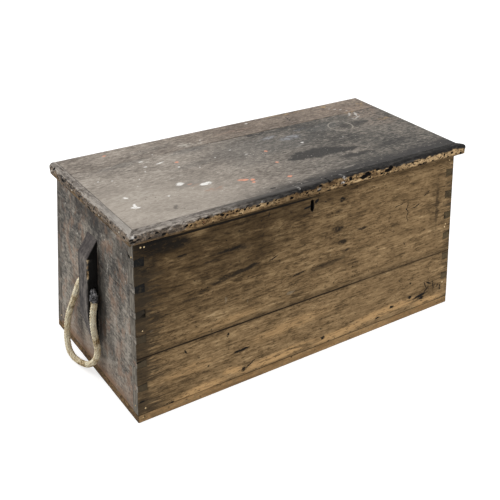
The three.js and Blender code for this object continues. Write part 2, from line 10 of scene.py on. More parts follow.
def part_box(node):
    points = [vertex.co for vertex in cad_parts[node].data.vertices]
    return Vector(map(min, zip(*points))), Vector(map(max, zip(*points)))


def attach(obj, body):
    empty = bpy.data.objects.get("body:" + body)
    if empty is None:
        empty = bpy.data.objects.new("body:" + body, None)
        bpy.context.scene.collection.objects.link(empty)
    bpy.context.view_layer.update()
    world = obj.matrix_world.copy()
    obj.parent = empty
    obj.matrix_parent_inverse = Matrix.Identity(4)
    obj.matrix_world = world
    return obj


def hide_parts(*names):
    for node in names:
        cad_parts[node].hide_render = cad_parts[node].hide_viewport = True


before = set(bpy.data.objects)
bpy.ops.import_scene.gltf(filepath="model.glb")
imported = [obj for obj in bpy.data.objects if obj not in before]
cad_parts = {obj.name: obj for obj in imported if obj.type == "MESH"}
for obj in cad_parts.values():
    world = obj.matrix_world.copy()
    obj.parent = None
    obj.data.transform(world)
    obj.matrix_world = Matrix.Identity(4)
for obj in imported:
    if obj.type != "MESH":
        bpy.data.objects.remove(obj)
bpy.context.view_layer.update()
mm = 0.001
print("frame loaded:", len(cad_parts), "pieces")

# Camera

camera = {
    "azimuth": -34.49, "elevation": 29.43, "roll": 1.64,  # degrees
    "distance": 2.2322, "slideAcross": -0.02205, "slideUp": 0.16801,
    "lens": 59.62, "sensor": 36.0,
}


def linked(thing):
    bpy.context.scene.collection.objects.link(thing)
    return thing


def makeCamera(c):
    turn, lift, roll = (math.radians(c[k]) for k in ("azimuth", "elevation", "roll"))
    back = Vector((math.sin(turn) * math.cos(lift), -math.cos(turn) * math.cos(lift), math.sin(lift)))
    right = Vector((math.cos(turn), math.sin(turn), 0))
    up = back.cross(right)
    across = right * math.cos(roll) + up * math.sin(roll)
    above = up * math.cos(roll) - right * math.sin(roll)
    spot = back * c["distance"] + across * c["slideAcross"] + above * c["slideUp"]
    data = bpy.data.cameras.new("camera")
    data.lens, data.sensor_width = c["lens"], c["sensor"]
    data.clip_start, data.clip_end = 0.05, 60
    eye = linked(bpy.data.objects.new("camera", data))
    eye.matrix_world = Matrix.Translation(spot) @ Matrix((across, above, back)).transposed().to_4x4()
    bpy.context.scene.camera = eye


makeCamera(camera)
bpy.context.scene.view_settings.view_transform = "Standard"

# Where the chest's faces are, as in the model's source (metres)

chest = {
    "halfLength": 0.475, "halfDepth": 0.228, "rimHeight": 0.441, "endFlare": 0.023, "sideFlare": 0.0325,
    "rimHalfLength": 0.452, "rimHalfDepth": 0.1955, "lidFoot": 0.4413, "lidTop": 0.4658,
    "sideJoint": 0.163, "endJoint": 0.306, "bottomTop": 0.0192, "lidJoint": 0.1125,
    "gaugeLine": 0.0246, "cleatFront": -0.0225,
}


def wallFrame(out, half, flare):
    # X across the wall, Y up it and Z out of it, from the middle of its foot
    normal = (Vector(out) * chest["rimHeight"] + Vector((0, 0, flare))).normalized()
    across = Vector((0, 0, 1)).cross(Vector(out))
    up = normal.cross(across)
    return Matrix.Translation(Vector(out) * half) @ Matrix((across, up, normal)).transposed().to_4x4()


walls = {
    "front": wallFrame((0, -1, 0), chest["halfDepth"], chest["sideFlare"]),
    "back": wallFrame((0, 1, 0), chest["halfDepth"], chest["sideFlare"]),
    "left": wallFrame((-1, 0, 0), chest["halfLength"], chest["endFlare"]),
    "right": wallFrame((1, 0, 0), chest["halfLength"], chest["endFlare"]),
}

# Node trees: a socket that takes part in sums, and the tree that it belongs to


class Value:
    def __init__(self, graph, socket):
        self.graph, self.socket = graph, socket

    def maths(self, operation, *terms):
        return self.graph.node("ShaderNodeMath", {"operation": operation}, dict(enumerate(terms)))

    def __add__(self, other):
        return self.maths("ADD", self, other)

    def __sub__(self, other):
        return self.maths("SUBTRACT", self, other)

    def __rsub__(self, other):
        return self.maths("SUBTRACT", other, self)

    def __mul__(self, other):
        return self.maths("MULTIPLY", self, other)

    def __truediv__(self, other):
        return self.maths("DIVIDE", self, other)

    __radd__, __rmul__ = __add__, __mul__

    def most(self, other):
        return self.maths("MAXIMUM", self, other)

    def least(self, other):
        return self.maths("MINIMUM", self, other)

    def size(self):
        return self.maths("ABSOLUTE", self)

    def sine(self):
        return self.maths("SINE", self)

    def cosine(self):
        return self.maths("COSINE", self)

    def soft(self, low, high):  # 0 at low, 1 at high, smooth between
        return self.graph.node("ShaderNodeMapRange", {"interpolation_type": "SMOOTHSTEP"}, {
            "Value": self, "From Min": low, "From Max": high})


class Graph:
    def __init__(self, tree):
        self.tree = tree

    def node(self, kind, settings=None, inputs=None, output=0):
        made = self.tree.nodes.new(kind)
        for key, value in (settings or {}).items():
            if key == "stops":
                elements = made.color_ramp.elements
                while len(elements) < len(value):
                    elements.new(0.5)
                for stop, (spot, colour) in zip(elements, value):
                    stop.position, stop.color = spot, (*colour, 1)
            else:
                setattr(made, key, value)
        for key, value in (inputs or {}).items():
            socket = self.found(made.inputs, key)
            if isinstance(value, Value):
                self.tree.links.new(value.socket, socket)
            elif isinstance(value, tuple) and socket.type == "RGBA":
                socket.default_value = (*value, 1)
            else:
                socket.default_value = value
        return Value(self, self.found(made.outputs, output)) if made.outputs else None

    def found(self, sockets, key):
        if isinstance(key, int):
            return sockets[key]
        return next(s for s in sockets if s.enabled and key in (s.identifier, s.name))

    def vector(self, operation, *terms, output=0):
        return self.node("ShaderNodeVectorMath", {"operation": operation}, dict(enumerate(terms)), output)

    def scaled(self, vector, amount):
        return self.node("ShaderNodeVectorMath", {"operation": "SCALE"}, {0: vector, "Scale": amount})

    def joined(self, x, y, z=0.0):
        return self.node("ShaderNodeCombineXYZ", None, {0: x, 1: y, 2: z})

    def allOf(self, value):  # every output of the node that a value comes from
        outputs = value.socket.node.outputs
        return [Value(self, socket) for socket in outputs if socket.enabled and socket.name]


# Geometry Nodes: strands laid round a line, and heads set down at points


class Maker(Graph):
    def __init__(self, name, inputs):
        super().__init__(bpy.data.node_groups.new(name, "GeometryNodeTree"))
        self.tree.interface.new_socket("Geometry", in_out="INPUT", socket_type="NodeSocketGeometry")
        for label, kind in inputs.items():
            self.tree.interface.new_socket(label, in_out="INPUT", socket_type="NodeSocket" + kind)
        self.tree.interface.new_socket("Geometry", in_out="OUTPUT", socket_type="NodeSocketGeometry")
        self.given = {v.socket.name: v for v in self.allOf(self.node("NodeGroupInput"))}

    def stored(self, shape, name, value, kind="FLOAT"):
        return self.node("GeometryNodeStoreNamedAttribute", {"data_type": kind, "domain": "POINT"}, {
            "Geometry": shape, "Name": name, "Value": value})

    def recalled(self, name):
        return self.node("GeometryNodeInputNamedAttribute", {"data_type": "FLOAT_VECTOR"}, {
            "Name": name}, "Attribute")

    def chance(self, kind, low, high):
        return self.node("FunctionNodeRandomValue", {"data_type": kind}, {
            "Min": low, "Max": high, "Seed": self.given["Seed"]}, "Value")

    def closed(self, shape):
        whole = self.node("GeometryNodeRealizeInstances", None, {"Geometry": shape})
        whole = self.node("GeometryNodeSetMaterial", None, {
            "Geometry": whole, "Material": self.given["Material"]})
        self.node("NodeGroupOutput", None, {0: whole})

    def made(self, data, values):
        # The tree's result on a curve or a mesh, as a plain mesh
        carrier = linked(bpy.data.objects.new("carrier", data))
        nodes = carrier.modifiers.new("nodes", "NODES")
        nodes.node_group = self.tree
        for item in self.tree.interface.items_tree:
            if item.in_out == "INPUT" and item.name in values:
                nodes[item.identifier] = values[item.name]
        shape = bpy.data.meshes.new_from_object(
            carrier.evaluated_get(bpy.context.evaluated_depsgraph_get()),
            preserve_all_data_layers=True, depsgraph=bpy.context.evaluated_depsgraph_get())
        carrier.modifiers.remove(nodes)
        bpy.data.objects.remove(carrier)
        return shape


def laidStrands():
    m = Maker("laid strands", {
        "Strands": "Int", "Strand Radius": "Float", "Centre Radius": "Float", "Lay": "Float",
        "Start Turn": "Float", "Step": "Float", "Sides": "Int", "Yarns": "Float", "Yarn Depth": "Float",
        "Yarn Lay": "Float", "Material": "Material"})
    g = m.given
    line = m.node("GeometryNodeResampleCurve", {"mode": "LENGTH"}, {
        "Curve": g["Geometry"], "Length": g["Step"]})
    run = m.node("GeometryNodeSplineParameter", output="Length")
    line = m.stored(line, "run", run)
    line = m.stored(line, "middle", m.node("GeometryNodeInputPosition"), "FLOAT_VECTOR")
    line, number = m.allOf(m.node("GeometryNodeDuplicateElements", {"domain": "SPLINE"}, {
        "Geometry": line, "Amount": g["Strands"]}))
    turn = (run / g["Lay"] + g["Start Turn"] + number / g["Strands"]) * math.tau
    normal = m.node("GeometryNodeInputNormal")
    side = m.vector("CROSS_PRODUCT", m.node("GeometryNodeInputTangent"), normal)
    spread = m.vector("ADD", m.scaled(normal, turn.cosine() * g["Centre Radius"]),
                      m.scaled(side, turn.sine() * g["Centre Radius"]))
    line = m.node("GeometryNodeSetPosition", None, {"Geometry": line, "Offset": spread})
    line = m.stored(line, "strand", number)
    line = m.node("GeometryNodeSetCurveTilt", None, {
        "Curve": line, "Tilt": run / g["Yarn Lay"] * math.tau})
    ring = m.node("GeometryNodeCurvePrimitiveCircle", None, {
        "Resolution": g["Sides"], "Radius": g["Strand Radius"]})
    around = m.node("GeometryNodeSplineParameter", output="Factor")
    swell = 1.0 - g["Yarn Depth"] * (1.0 - (around * g["Yarns"] * math.tau).cosine())
    ring = m.node("GeometryNodeSetPosition", None, {
        "Geometry": ring, "Position": m.scaled(m.node("GeometryNodeInputPosition"), swell)})
    ring = m.stored(ring, "turn", around)
    tube = m.node("GeometryNodeCurveToMesh", None, {
        "Curve": line, "Profile Curve": ring, "Fill Caps": True})
    away = m.vector("DISTANCE", m.node("GeometryNodeInputPosition"), m.recalled("middle"), output="Value")
    tube = m.stored(tube, "away", away)
    m.closed(m.node("GeometryNodeSetShadeSmooth", None, {"Geometry": tube}))
    return m


def headsAtPoints(slotted):
    m = Maker("screw heads" if slotted else "nail heads", {
        "Sides": "Int", "Radius": "Float", "Crown": "Float", "Height": "Float", "Lean": "Float",
        "Seed": "Int", "Material": "Material"})
    g = m.given
    head = m.node("GeometryNodeMeshCone", None, {
        "Vertices": g["Sides"], "Radius Top": g["Crown"], "Radius Bottom": g["Radius"],
        "Depth": g["Height"]}, "Mesh")
    if slotted:
        bar = m.node("GeometryNodeMeshCube", None, {
            "Size": m.joined(g["Radius"] * 2.4, g["Radius"] * 0.3, 0.0006)})
        bar = m.node("GeometryNodeTransform", None, {
            "Geometry": bar, "Translation": m.joined(0.0, 0.0, g["Height"])})
        head = m.node("GeometryNodeMeshBoolean", {"operation": "DIFFERENCE"}, {0: head, 1: bar})
    facing = m.recalled("facing")
    lean = m.scaled(m.chance("FLOAT_VECTOR", (-1.0, -1.0, -1.0), (1.0, 1.0, 1.0)), g["Lean"])
    aim = m.node("FunctionNodeAlignRotationToVector", {"axis": "Z"}, {
        "Vector": m.vector("ADD", facing, lean)})
    spinner = m.node("FunctionNodeAxisAngleToRotation", None, {
        "Axis": (0, 0, 1), "Angle": m.chance("FLOAT", 0.0, math.tau)})
    turned = m.node("FunctionNodeRotateRotation", {"rotation_space": "LOCAL"}, {
        "Rotation": aim, "Rotate By": spinner})
    size = m.chance("FLOAT", 0.8, 1.15)
    m.closed(m.node("GeometryNodeInstanceOnPoints", None, {
        "Points": g["Geometry"], "Instance": head, "Rotation": turned,
        "Scale": m.joined(size, size, 1.0)}))
    return m


strandMaker = laidStrands()
headMaker = headsAtPoints(False)
screwMaker = headsAtPoints(True)


def placed(name, mesh, body, replaced=(), material=None):
    piece = linked(bpy.data.objects.new(name, mesh))
    if material:
        mesh.materials.clear()
        mesh.materials.append(material)
    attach(piece, body)
    if replaced:
        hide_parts(*replaced)
    return piece


def polyline(points):
    data = bpy.data.curves.new("line", "CURVE")
    data.dimensions = "3D"
    spline = data.splines.new("POLY")
    spline.points.add(len(points) - 1)
    for point, spot in zip(spline.points, points):
        point.co = (*spot, 1)
    return data


def rounded(points, steps):
    # The smooth curve through a route's points
    ends = [points[0] * 2 - points[1], *points, points[-1] * 2 - points[-2]]
    found = []
    for a, b, c, d in zip(ends, ends[1:], ends[2:], ends[3:]):
        for i in range(steps):
            t = i / steps
            found.append((b * 2 + (c - a) * t + (a * 2 - b * 5 + c * 4 - d) * t * t
                          + (b * 3 - a - c * 3 + d) * t ** 3) / 2)
    return found + [points[-1]]


# Colours and the weathered wood that all finishes are made of


def rgb(red, green, blue):  # an sRGB colour from 0 to 255, as the shaders want it
    return tuple(v / 255 / 12.92 if v < 11 else ((v / 255 + 0.055) / 1.055) ** 2.4
                 for v in (red, green, blue))


class Finish(Graph):
    def __init__(self, name):
        self.material = bpy.data.materials.new(name)
        self.material.use_nodes = True
        super().__init__(self.material.node_tree)
        self.tree.nodes.clear()
        self.place = self.node("ShaderNodeTexCoord", output="Object")
        self.x, self.y, self.z = self.allOf(self.node("ShaderNodeSeparateXYZ", None, {0: self.place}))

    def attribute(self, name):
        return self.node("ShaderNodeAttribute", {"attribute_name": name}, output="Fac")

    def noise(self, factors, detail=2, roughness=0.5, shift=(0, 0, 0), vector=None):
        if not isinstance(factors, tuple):
            factors = (factors,) * 3
        spot = self.vector("MULTIPLY_ADD", vector or self.place, factors, shift)
        return self.node("ShaderNodeTexNoise", None, {
            "Vector": spot, "Scale": 1, "Detail": detail, "Roughness": roughness})

    def specks(self, scale, width, shift=(0, 0, 0)):
        spot = self.vector("MULTIPLY_ADD", self.place, (scale,) * 3, shift)
        return self.node("ShaderNodeTexVoronoi", None, {"Vector": spot, "Scale": 1}, "Distance").soft(
            width, width * 0.4)

    def mix(self, mask, first, second, blend="MIX"):
        return self.node("ShaderNodeMix", {"data_type": "RGBA", "blend_type": blend}, {
            "Factor_Float": mask, "A_Color": first, "B_Color": second}, "Result_Color")

    def ramp(self, value, *stops):  # each stop is its place and its colour's three numbers
        return self.node("ShaderNodeValToRGB", {"stops": [(spot, rgb(*c)) for spot, *c in stops]},
                         {0: value}, "Color")

    def over(self, mask, *colour):  # lays a colour's three numbers, or a value, over what there is
        self.colour = self.mix(mask, self.colour, rgb(*colour) if len(colour) == 3 else colour[0])

    # Multiplies the colour down: for darker stains, and for painted shadow on the front
    def darken(self, mask, factors):
        self.colour = self.mix(mask, self.colour, factors, "MULTIPLY")

    def depth(self, side):  # how far a point lies inside a wall's outer face
        normal = walls[side].col[2].to_3d()
        reach = self.vector("DOT_PRODUCT", self.place, tuple(normal), output="Value")
        return walls[side].translation.dot(normal) - reach

    def ragged(self, u, v, amount=0.006, scale=70):  # a face's coordinates with uneven edges
        jitterU = self.noise(scale, 3, 0.6) - 0.5
        jitterV = self.noise(scale, 3, 0.6, (5, 9, 2)) - 0.5
        return self.joined(u + jitterU * (amount * 2), v + jitterV * amount)

    def marks(self, face, spots):
        # Soft ovals: across, up, half length, half height (mm), strength and, if turned, degrees
        whole, turned = None, {}
        for across, up, halfLength, halfHeight, strength, *turn in spots:
            turn = turn[0] if turn else 0
            c, s = math.cos(math.radians(turn)), math.sin(math.radians(turn))
            if turn not in turned:
                turned[turn] = self.joined(
                    self.vector("DOT_PRODUCT", face, (c, s, 0), output="Value"),
                    self.vector("DOT_PRODUCT", face, (-s, c, 0), output="Value"))
            middle = (across * c + up * s, up * c - across * s)
            spot = self.vector("MULTIPLY_ADD", turned[turn],
                               (1 / halfLength / mm, 1 / halfHeight / mm, 0),
                               (-middle[0] / halfLength, -middle[1] / halfHeight, 0))
            reach = self.vector("LENGTH", spot, output="Value")
            mask = self.node("ShaderNodeMapRange", {"interpolation_type": "SMOOTHSTEP"}, {
                "Value": reach, "From Min": 1.35, "From Max": 0.45, "To Max": strength})
            whole = mask if whole is None else whole.most(mask)
        return whole

    def done(self, roughness=0.8, bump=None, strength=0.5, distance=0.001, metallic=0,
             specular=0.1):
        inputs = {"Base Color": self.colour, "Roughness": roughness, "Metallic": metallic,
                  "Specular IOR Level": specular}
        if bump is not None:
            inputs["Normal"] = self.node("ShaderNodeBump", None, {
                "Strength": strength, "Distance": distance, "Height": bump})
        shader = self.node("ShaderNodeBsdfPrincipled", None, inputs)
        self.node("ShaderNodeOutputMaterial", None, {"Surface": shader})
        return self.material

    def grain(self, along, shift=(0, 0, 0)):
        # Streaks, fibres, small mottling and broad clouds of a board that lies along X, Y or Z
        def lie(long, cross):
            return tuple(long if i == along else cross for i in range(3))
        wave = self.noise((2.2, 3.4, 3.4), 2, 0.5, shift) - 0.5
        bent = self.vector("MULTIPLY_ADD", self.joined(wave, wave, wave), (0.035,) * 3, self.place)
        streak = self.noise(lie(12, 115), 4, 0.65, shift, bent)
        fibre = self.noise(lie(45, 430), 3, 0.65, shift, bent)
        mottle = self.noise(lie(75, 150), 5, 0.72, shift)
        broad = self.noise(lie(5, 17), 4, 0.6, shift)
        return streak, fibre, mottle, broad


bareWood = {
    "honey": (188, 152, 106), "inside": (164, 132, 90), "insideDark": (122, 92, 58),
    "insidePale": (184, 152, 106), "soot": (16, 14, 12),
}


def cleanPine(f, along, shift=(0, 0, 0)):
    streak, fibre, _, broad = f.grain(along, shift)
    across = f.z if along < 2 else f.y
    rings = (across * 420 + broad * 26).sine() * 0.5 + 0.5
    tone = streak * 0.4 + broad * 0.2 + fibre * 0.25 + rings * 0.15
    return f.ramp(tone, (0.33, *bareWood["insideDark"]), (0.5, *bareWood["inside"]),
                  (0.66, *bareWood["insidePale"]))


# The front: bare and stained, darker towards the top and the left

frontMarks = {
    "dark": [
        (-398, 416, 60, 26, 0.6, -8), (-425, 380, 30, 30, 0.45), (-350, 408, 34, 16, 0.6),
        (-210, 295, 66, 7, 0.56, 4), (-250, 288, 36, 7, 0.5), (-168, 301, 26, 5, 0.6, 6),
        (-222, 357, 46, 6, 0.58, 3), (-190, 352, 24, 5, 0.5), (-272, 343, 26, 4, 0.5),
        (-329, 266, 22, 5, 0.45), (-296, 275, 18, 4, 0.45), (-236, 144, 3, 6, 1),
        (-202, 91, 26, 3, 0.85, 3), (-292, 82, 3, 2.5, 0.9), (-346, 140, 2, 6, 0.8, 20),
        (-395, 22, 12, 3, 0.9), (-460, 52, 12, 2.5, 0.9, 5), (-36, 13, 9, 3, 0.9),
        (-35, 241, 18, 2, 1, 8), (-107, 303, 14, 1.8, 0.8, 25), (91, 399, 10, 6, 0.7, 10),
        (38, 405, 5, 2, 0.8), (304, 312, 1.5, 30, 0.8, 2), (276, 339, 20, 1.6, 0.8, 12),
        (332, 322, 15, 1.6, 0.7, 15), (367, 349, 10, 2, 0.85, 35), (80, 371, 14, 6, 0.4),
        (79, 325, 20, 9, 0.6), (96, 287, 16, 8, 0.6), (155, 308, 16, 5, 0.6), (103, 263, 14, 4, 0.5),
        (42, 241, 72, 7, 0.4, 4), (300, 225, 3, 2.2, 0.8), (291, 121, 3, 2.5, 0.7),
        (335, 101, 4, 4, 0.8), (377, 45, 11, 6, 1), (336, 58, 7, 5, 1), (268, 50, 7, 4, 0.95, 10),
        (222, 33, 9, 3, 0.95, 5), (39, 41, 6, 2, 0.6), (119, 51, 5, 2, 0.6),
        (392, 62, 16, 1.4, 0.7, 62), (424, 66, 12, 1.4, 0.6, 70), (407, 305, 7, 70, 0.4, 2),
        (-195, 37, 9, 6, 0.95, 25), (-178, 44, 16, 2, 0.9, 30), (42, 37, 6, 4, 0.9),
        (389, 80, 2.2, 13, 0.9, 22), (402, 82, 11, 2.2, 0.9, -32), (418, 74, 2.6, 11, 0.9, 12),
        (396, 66, 12, 2.2, 0.9, 38), (436, 64, 10, 2, 0.8, 40), (444, 56, 2.4, 9, 0.8, 10),
        (372, 52, 26, 5, 0.8, 8), (-342, 376, 12, 2.5, 0.8), (-120, 412, 1.8, 7, 0.9),
    ],
    "crack": [(-13, 403.5, 11, 2.6, 1, 8), (14, 413.5, 6, 3.6, 1, 38), (0.5, 405, 5.6, 14.5, 1)],
    "pale": [
        (-238, 236, 3, 8, 0.3, -12), (-61, 198, 12, 4, 0.3, 8), (-426, 222, 4, 2.5, 0.5, 20),
        (-180, 215, 1.5, 5, 0.3), (60, 262, 3, 1.5, 0.35, 30),
    ],
    # Darker patches; the long thin one at 405 mm up, along the top below the moulding, is painted shadow
    "darkPatchesAndShade": [
        (-402, 408, 56, 36, 0.9), (-410, 310, 70, 120, 0.45), (-190, 340, 180, 50, 0.45, 4),
        (-130, 405, 230, 26, 0.7), (-250, 240, 120, 26, 0.35, 3), (70, 320, 60, 40, 0.35),
        (60, 240, 90, 18, 0.4, 4), (-330, 396, 60, 30, 0.6), (-290, 410, 60, 14, 0.5),
        (410, 300, 22, 110, 0.4), (300, 260, 60, 14, 0.25, 4), (200, 380, 120, 12, 0.2, 4),
        (-380, 60, 40, 26, 0.35), (250, 130, 70, 12, 0.2, 4), (396, 60, 50, 28, 0.6, 8),
    ],
    "honey": [
        (-316, 26, 70, 15, 1, 3), (-225, 44, 30, 10, 1, -10), (-100, 36, 110, 12, 1, 2),
        (248, 46, 130, 12, 0.9, 1), (90, 34, 90, 11, 0.9, 2), (400, 32, 50, 12, 1),
        (-340, 90, 70, 14, 0.5, 3), (-60, 110, 120, 16, 0.5, 3), (-250, 180, 110, 12, 0.4, 4),
    ],
}


def frontWood():
    f = Finish("front wood")
    streak, fibre, mottle, broad = f.grain(0)
    fine = f.noise((24, 250, 250), 3, 0.7, (6, 0, 3))
    patch = f.noise((17, 44, 44), 5, 0.68, (9, 5, 0))
    tone = fine * 0.34 + mottle * 0.2 + streak * 0.17 + patch * 0.29
    tone = (tone - 0.5) * (0.8 - f.x.soft(-0.02, 0.2) * 0.1) + 0.502
    f.colour = f.ramp(tone, (0.42, 66, 53, 36), (0.465, 104, 84, 58), (0.51, 131, 107, 76),
                      (0.56, 153, 128, 93), (0.615, 182, 157, 120))
    face = f.ragged(f.x, f.z, 0.009, 70)
    honey = f.marks(face, frontMarks["honey"]) * streak.soft(0.36, 0.5) * 0.85
    f.over(honey, *bareWood["honey"])
    f.over(f.marks(face, frontMarks["pale"]), 176, 163, 140)
    # Darker towards the top and the left
    darkerUpLeft = (f.z + (broad - 0.5) * 0.2).soft(0.1, 0.42) * (1 - f.x.soft(-0.16, 0.14) * 0.7)
    f.darken(darkerUpLeft * (patch.soft(0.64, 0.4) * 0.5 + 0.5), (0.36, 0.345, 0.31))
    # Darker patches, with painted shadow along the top below the moulding
    softFace = f.ragged(f.x, f.z, 0.06, 16)
    darkPatchesAndShade = f.marks(softFace, frontMarks["darkPatchesAndShade"]) * patch.soft(0.3, 0.54)
    f.darken(darkPatchesAndShade, (0.26, 0.245, 0.22))
    smear = f.noise((14, 60, 60), 5, 0.72, (2, 4, 8)).soft(0.55, 0.63)
    f.darken(smear * f.x.soft(0.7, -0.2) * f.z.soft(0.02, 0.3) * 0.7, (0.28, 0.27, 0.25))
    ticks = f.noise((80, 330, 330), 3, 0.6, (1, 5, 2)).soft(0.57, 0.65)
    slant = f.joined(f.x + f.z * 0.5, f.z - f.x * 0.5)
    scratches = f.noise((26, 300, 1), 3, 0.6, (0, 0, 4), slant).soft(0.63, 0.69)
    f.over(ticks.most(scratches) * 0.7, 48, 36, 23)
    fromEnd = f.depth("left").least(f.depth("right") + 0.05)
    reach = f.noise((20, 66, 66), 4, 0.7, (3, 1, 0)).soft(0.38, 0.62) * 0.085
    grime = (fromEnd - reach).soft(0.02, -0.04) * patch.soft(0.3, 0.5)
    grime = grime * (f.z.soft(0.06, 0.4) * 0.4 + 0.45)
    f.over(grime, 36, 31, 24)
    fringe = f.noise((15, 210, 210), 3, 0.66, (4, 2, 1)).soft(0.42, 0.62) * 0.045
    column = (fromEnd - fringe).soft(0.034, 0.018) * f.z.soft(0.4, 0.34)
    column = column * (broad.soft(0.36, 0.5) * 0.4 + 0.3)
    f.over(column, 50, 42, 32)
    hidden = f.z.soft(0.43, 0.426)  # what the closed lid doesn't cover
    # Painted shadow under the lid's moulding: a darker band below it on the right half, and on the left a
    # near-black shadow line just beneath it
    shadeUnderOverhang = f.z.soft(0.404, 0.4245) * f.x.soft(-0.06, 0.08) * (hidden * 0.5 + 0.5)
    f.darken(shadeUnderOverhang * 0.8, (0.42, 0.4, 0.37))
    shadowLine = f.z.soft(0.4216, 0.4232) * f.x.soft(0.06, -0.02) * f.x.soft(-0.452, -0.42)
    f.over(shadowLine * hidden * 0.95, 9, 7, 5)
    joint = (f.z - chest["sideJoint"]).size().soft(0.004, 0.001) * (1.2 - f.x.soft(0.05, 0.25) * 0.35)
    under = (f.z - chest["sideJoint"] - 0.004).size().soft(0.016, 0.001) * patch.soft(0.36, 0.52) * 1.2
    foot = (f.z - chest["bottomTop"]).size().soft(0.0038, 0.001) * (broad.soft(0.4, 0.5) * 0.3 + 0.7)
    f.over(joint.most(foot).most(under * 0.5) * 0.8, 34, 26, 17)
    specks = f.specks(62, 0.17) * broad.soft(0.45, 0.6)
    dark = f.marks(face, frontMarks["dark"]).soft(0, 0.75) * mottle.soft(0.34, 0.5)
    crack = f.marks(f.ragged(f.x, f.z, 0.003, 160), frontMarks["crack"]).soft(0.1, 0.4)
    f.over(dark.most(specks * 0.8).most(crack), *bareWood["soot"])
    side = f.depth("left").least(f.depth("right"))
    edge = side.soft(0.003, 0) * mottle.soft(0.4, 0.6)
    f.over(edge * 0.4, 92, 82, 68)
    # Inside it is clean, but dark round the keyhole
    keyed = f.z.soft(0.38, 0.384) * f.x.size().soft(0.02, 0.016)
    f.over(f.depth("front").soft(0.008, 0.016) * (1 - keyed), cleanPine(f, 0))
    f.over(keyed * f.depth("front").soft(0.0006, 0.0012), *bareWood["soot"])
    tail = side.soft(0.0016, 0.0008) * f.depth("front").soft(0.0006, 0.0016)
    lines = f.noise((300, 300, 40), 4, 0.65).soft(0.35, 0.65)
    f.over(tail, f.mix(lines, rgb(84, 79, 72), rgb(142, 135, 124)))
    return f.done(0.72 + fibre * 0.2, fibre * 0.4 + mottle * 0.6 - dark * 0.5, 0.7, 0.0014)


# The ends: dark paint, rubbed through

endMarks = {
    "pale": [
        (-76, 317, 15, 1.4, 0.7, -70), (-171, 206, 1.4, 11, 0.8, 5), (86, 327, 2.5, 2, 0.9),
        (-122, 330, 16, 1, 0.5, 62), (-40, 300, 12, 0.9, 0.4, 75), (-150, 90, 1.2, 14, 0.45, 4),
        (120, 150, 1, 18, 0.4, 3), (150, 380, 3, 2, 0.7),
    ],
    "brown": [
        (-113, 258, 26, 34, 0.8), (-136, 141, 22, 40, 0.7, 10), (30, 60, 70, 14, 0.6, 4),
        (-90, 200, 18, 20, 0.5), (100, 230, 24, 30, 0.4), (-60, 110, 30, 16, 0.5),
        (60, 385, 30, 10, 0.4), (150, 90, 20, 26, 0.5),
    ],
    # among these, the four from -33 to -52 across, in front of the cleat, are the shadow of the cleat and
    # of the rope, painted onto the wall
    "dark": [
        (-150, 385, 50, 30, 0.5), (20, 405, 110, 22, 0.6), (-120, 330, 40, 26, 0.35),
        (-33, 225, 13, 140, 1), (-36, 120, 13, 60, 1), (-50, 210, 18, 120, 0.8),
        (-52, 320, 22, 50, 0.6), (170, 300, 14, 60, 0.3), (-95, 120, 24, 40, 0.3),
        (110, 170, 30, 40, 0.3),
    ],
}


backMarks = {
    "pale": [
        (-210, 330, 20, 1.2, 0.6, 12), (130, 250, 1.2, 16, 0.5, 5), (300, 360, 18, 1.2, 0.5, -20),
    ],
    "brown": [(-300, 120, 90, 40, 0.6), (60, 340, 110, 22, 0.5), (320, 200, 50, 60, 0.6)],
    "dark": [
        (-120, 410, 220, 16, 0.6), (300, 400, 120, 20, 0.5), (-400, 300, 40, 90, 0.4),
        (200, 70, 90, 24, 0.35),
    ],
}


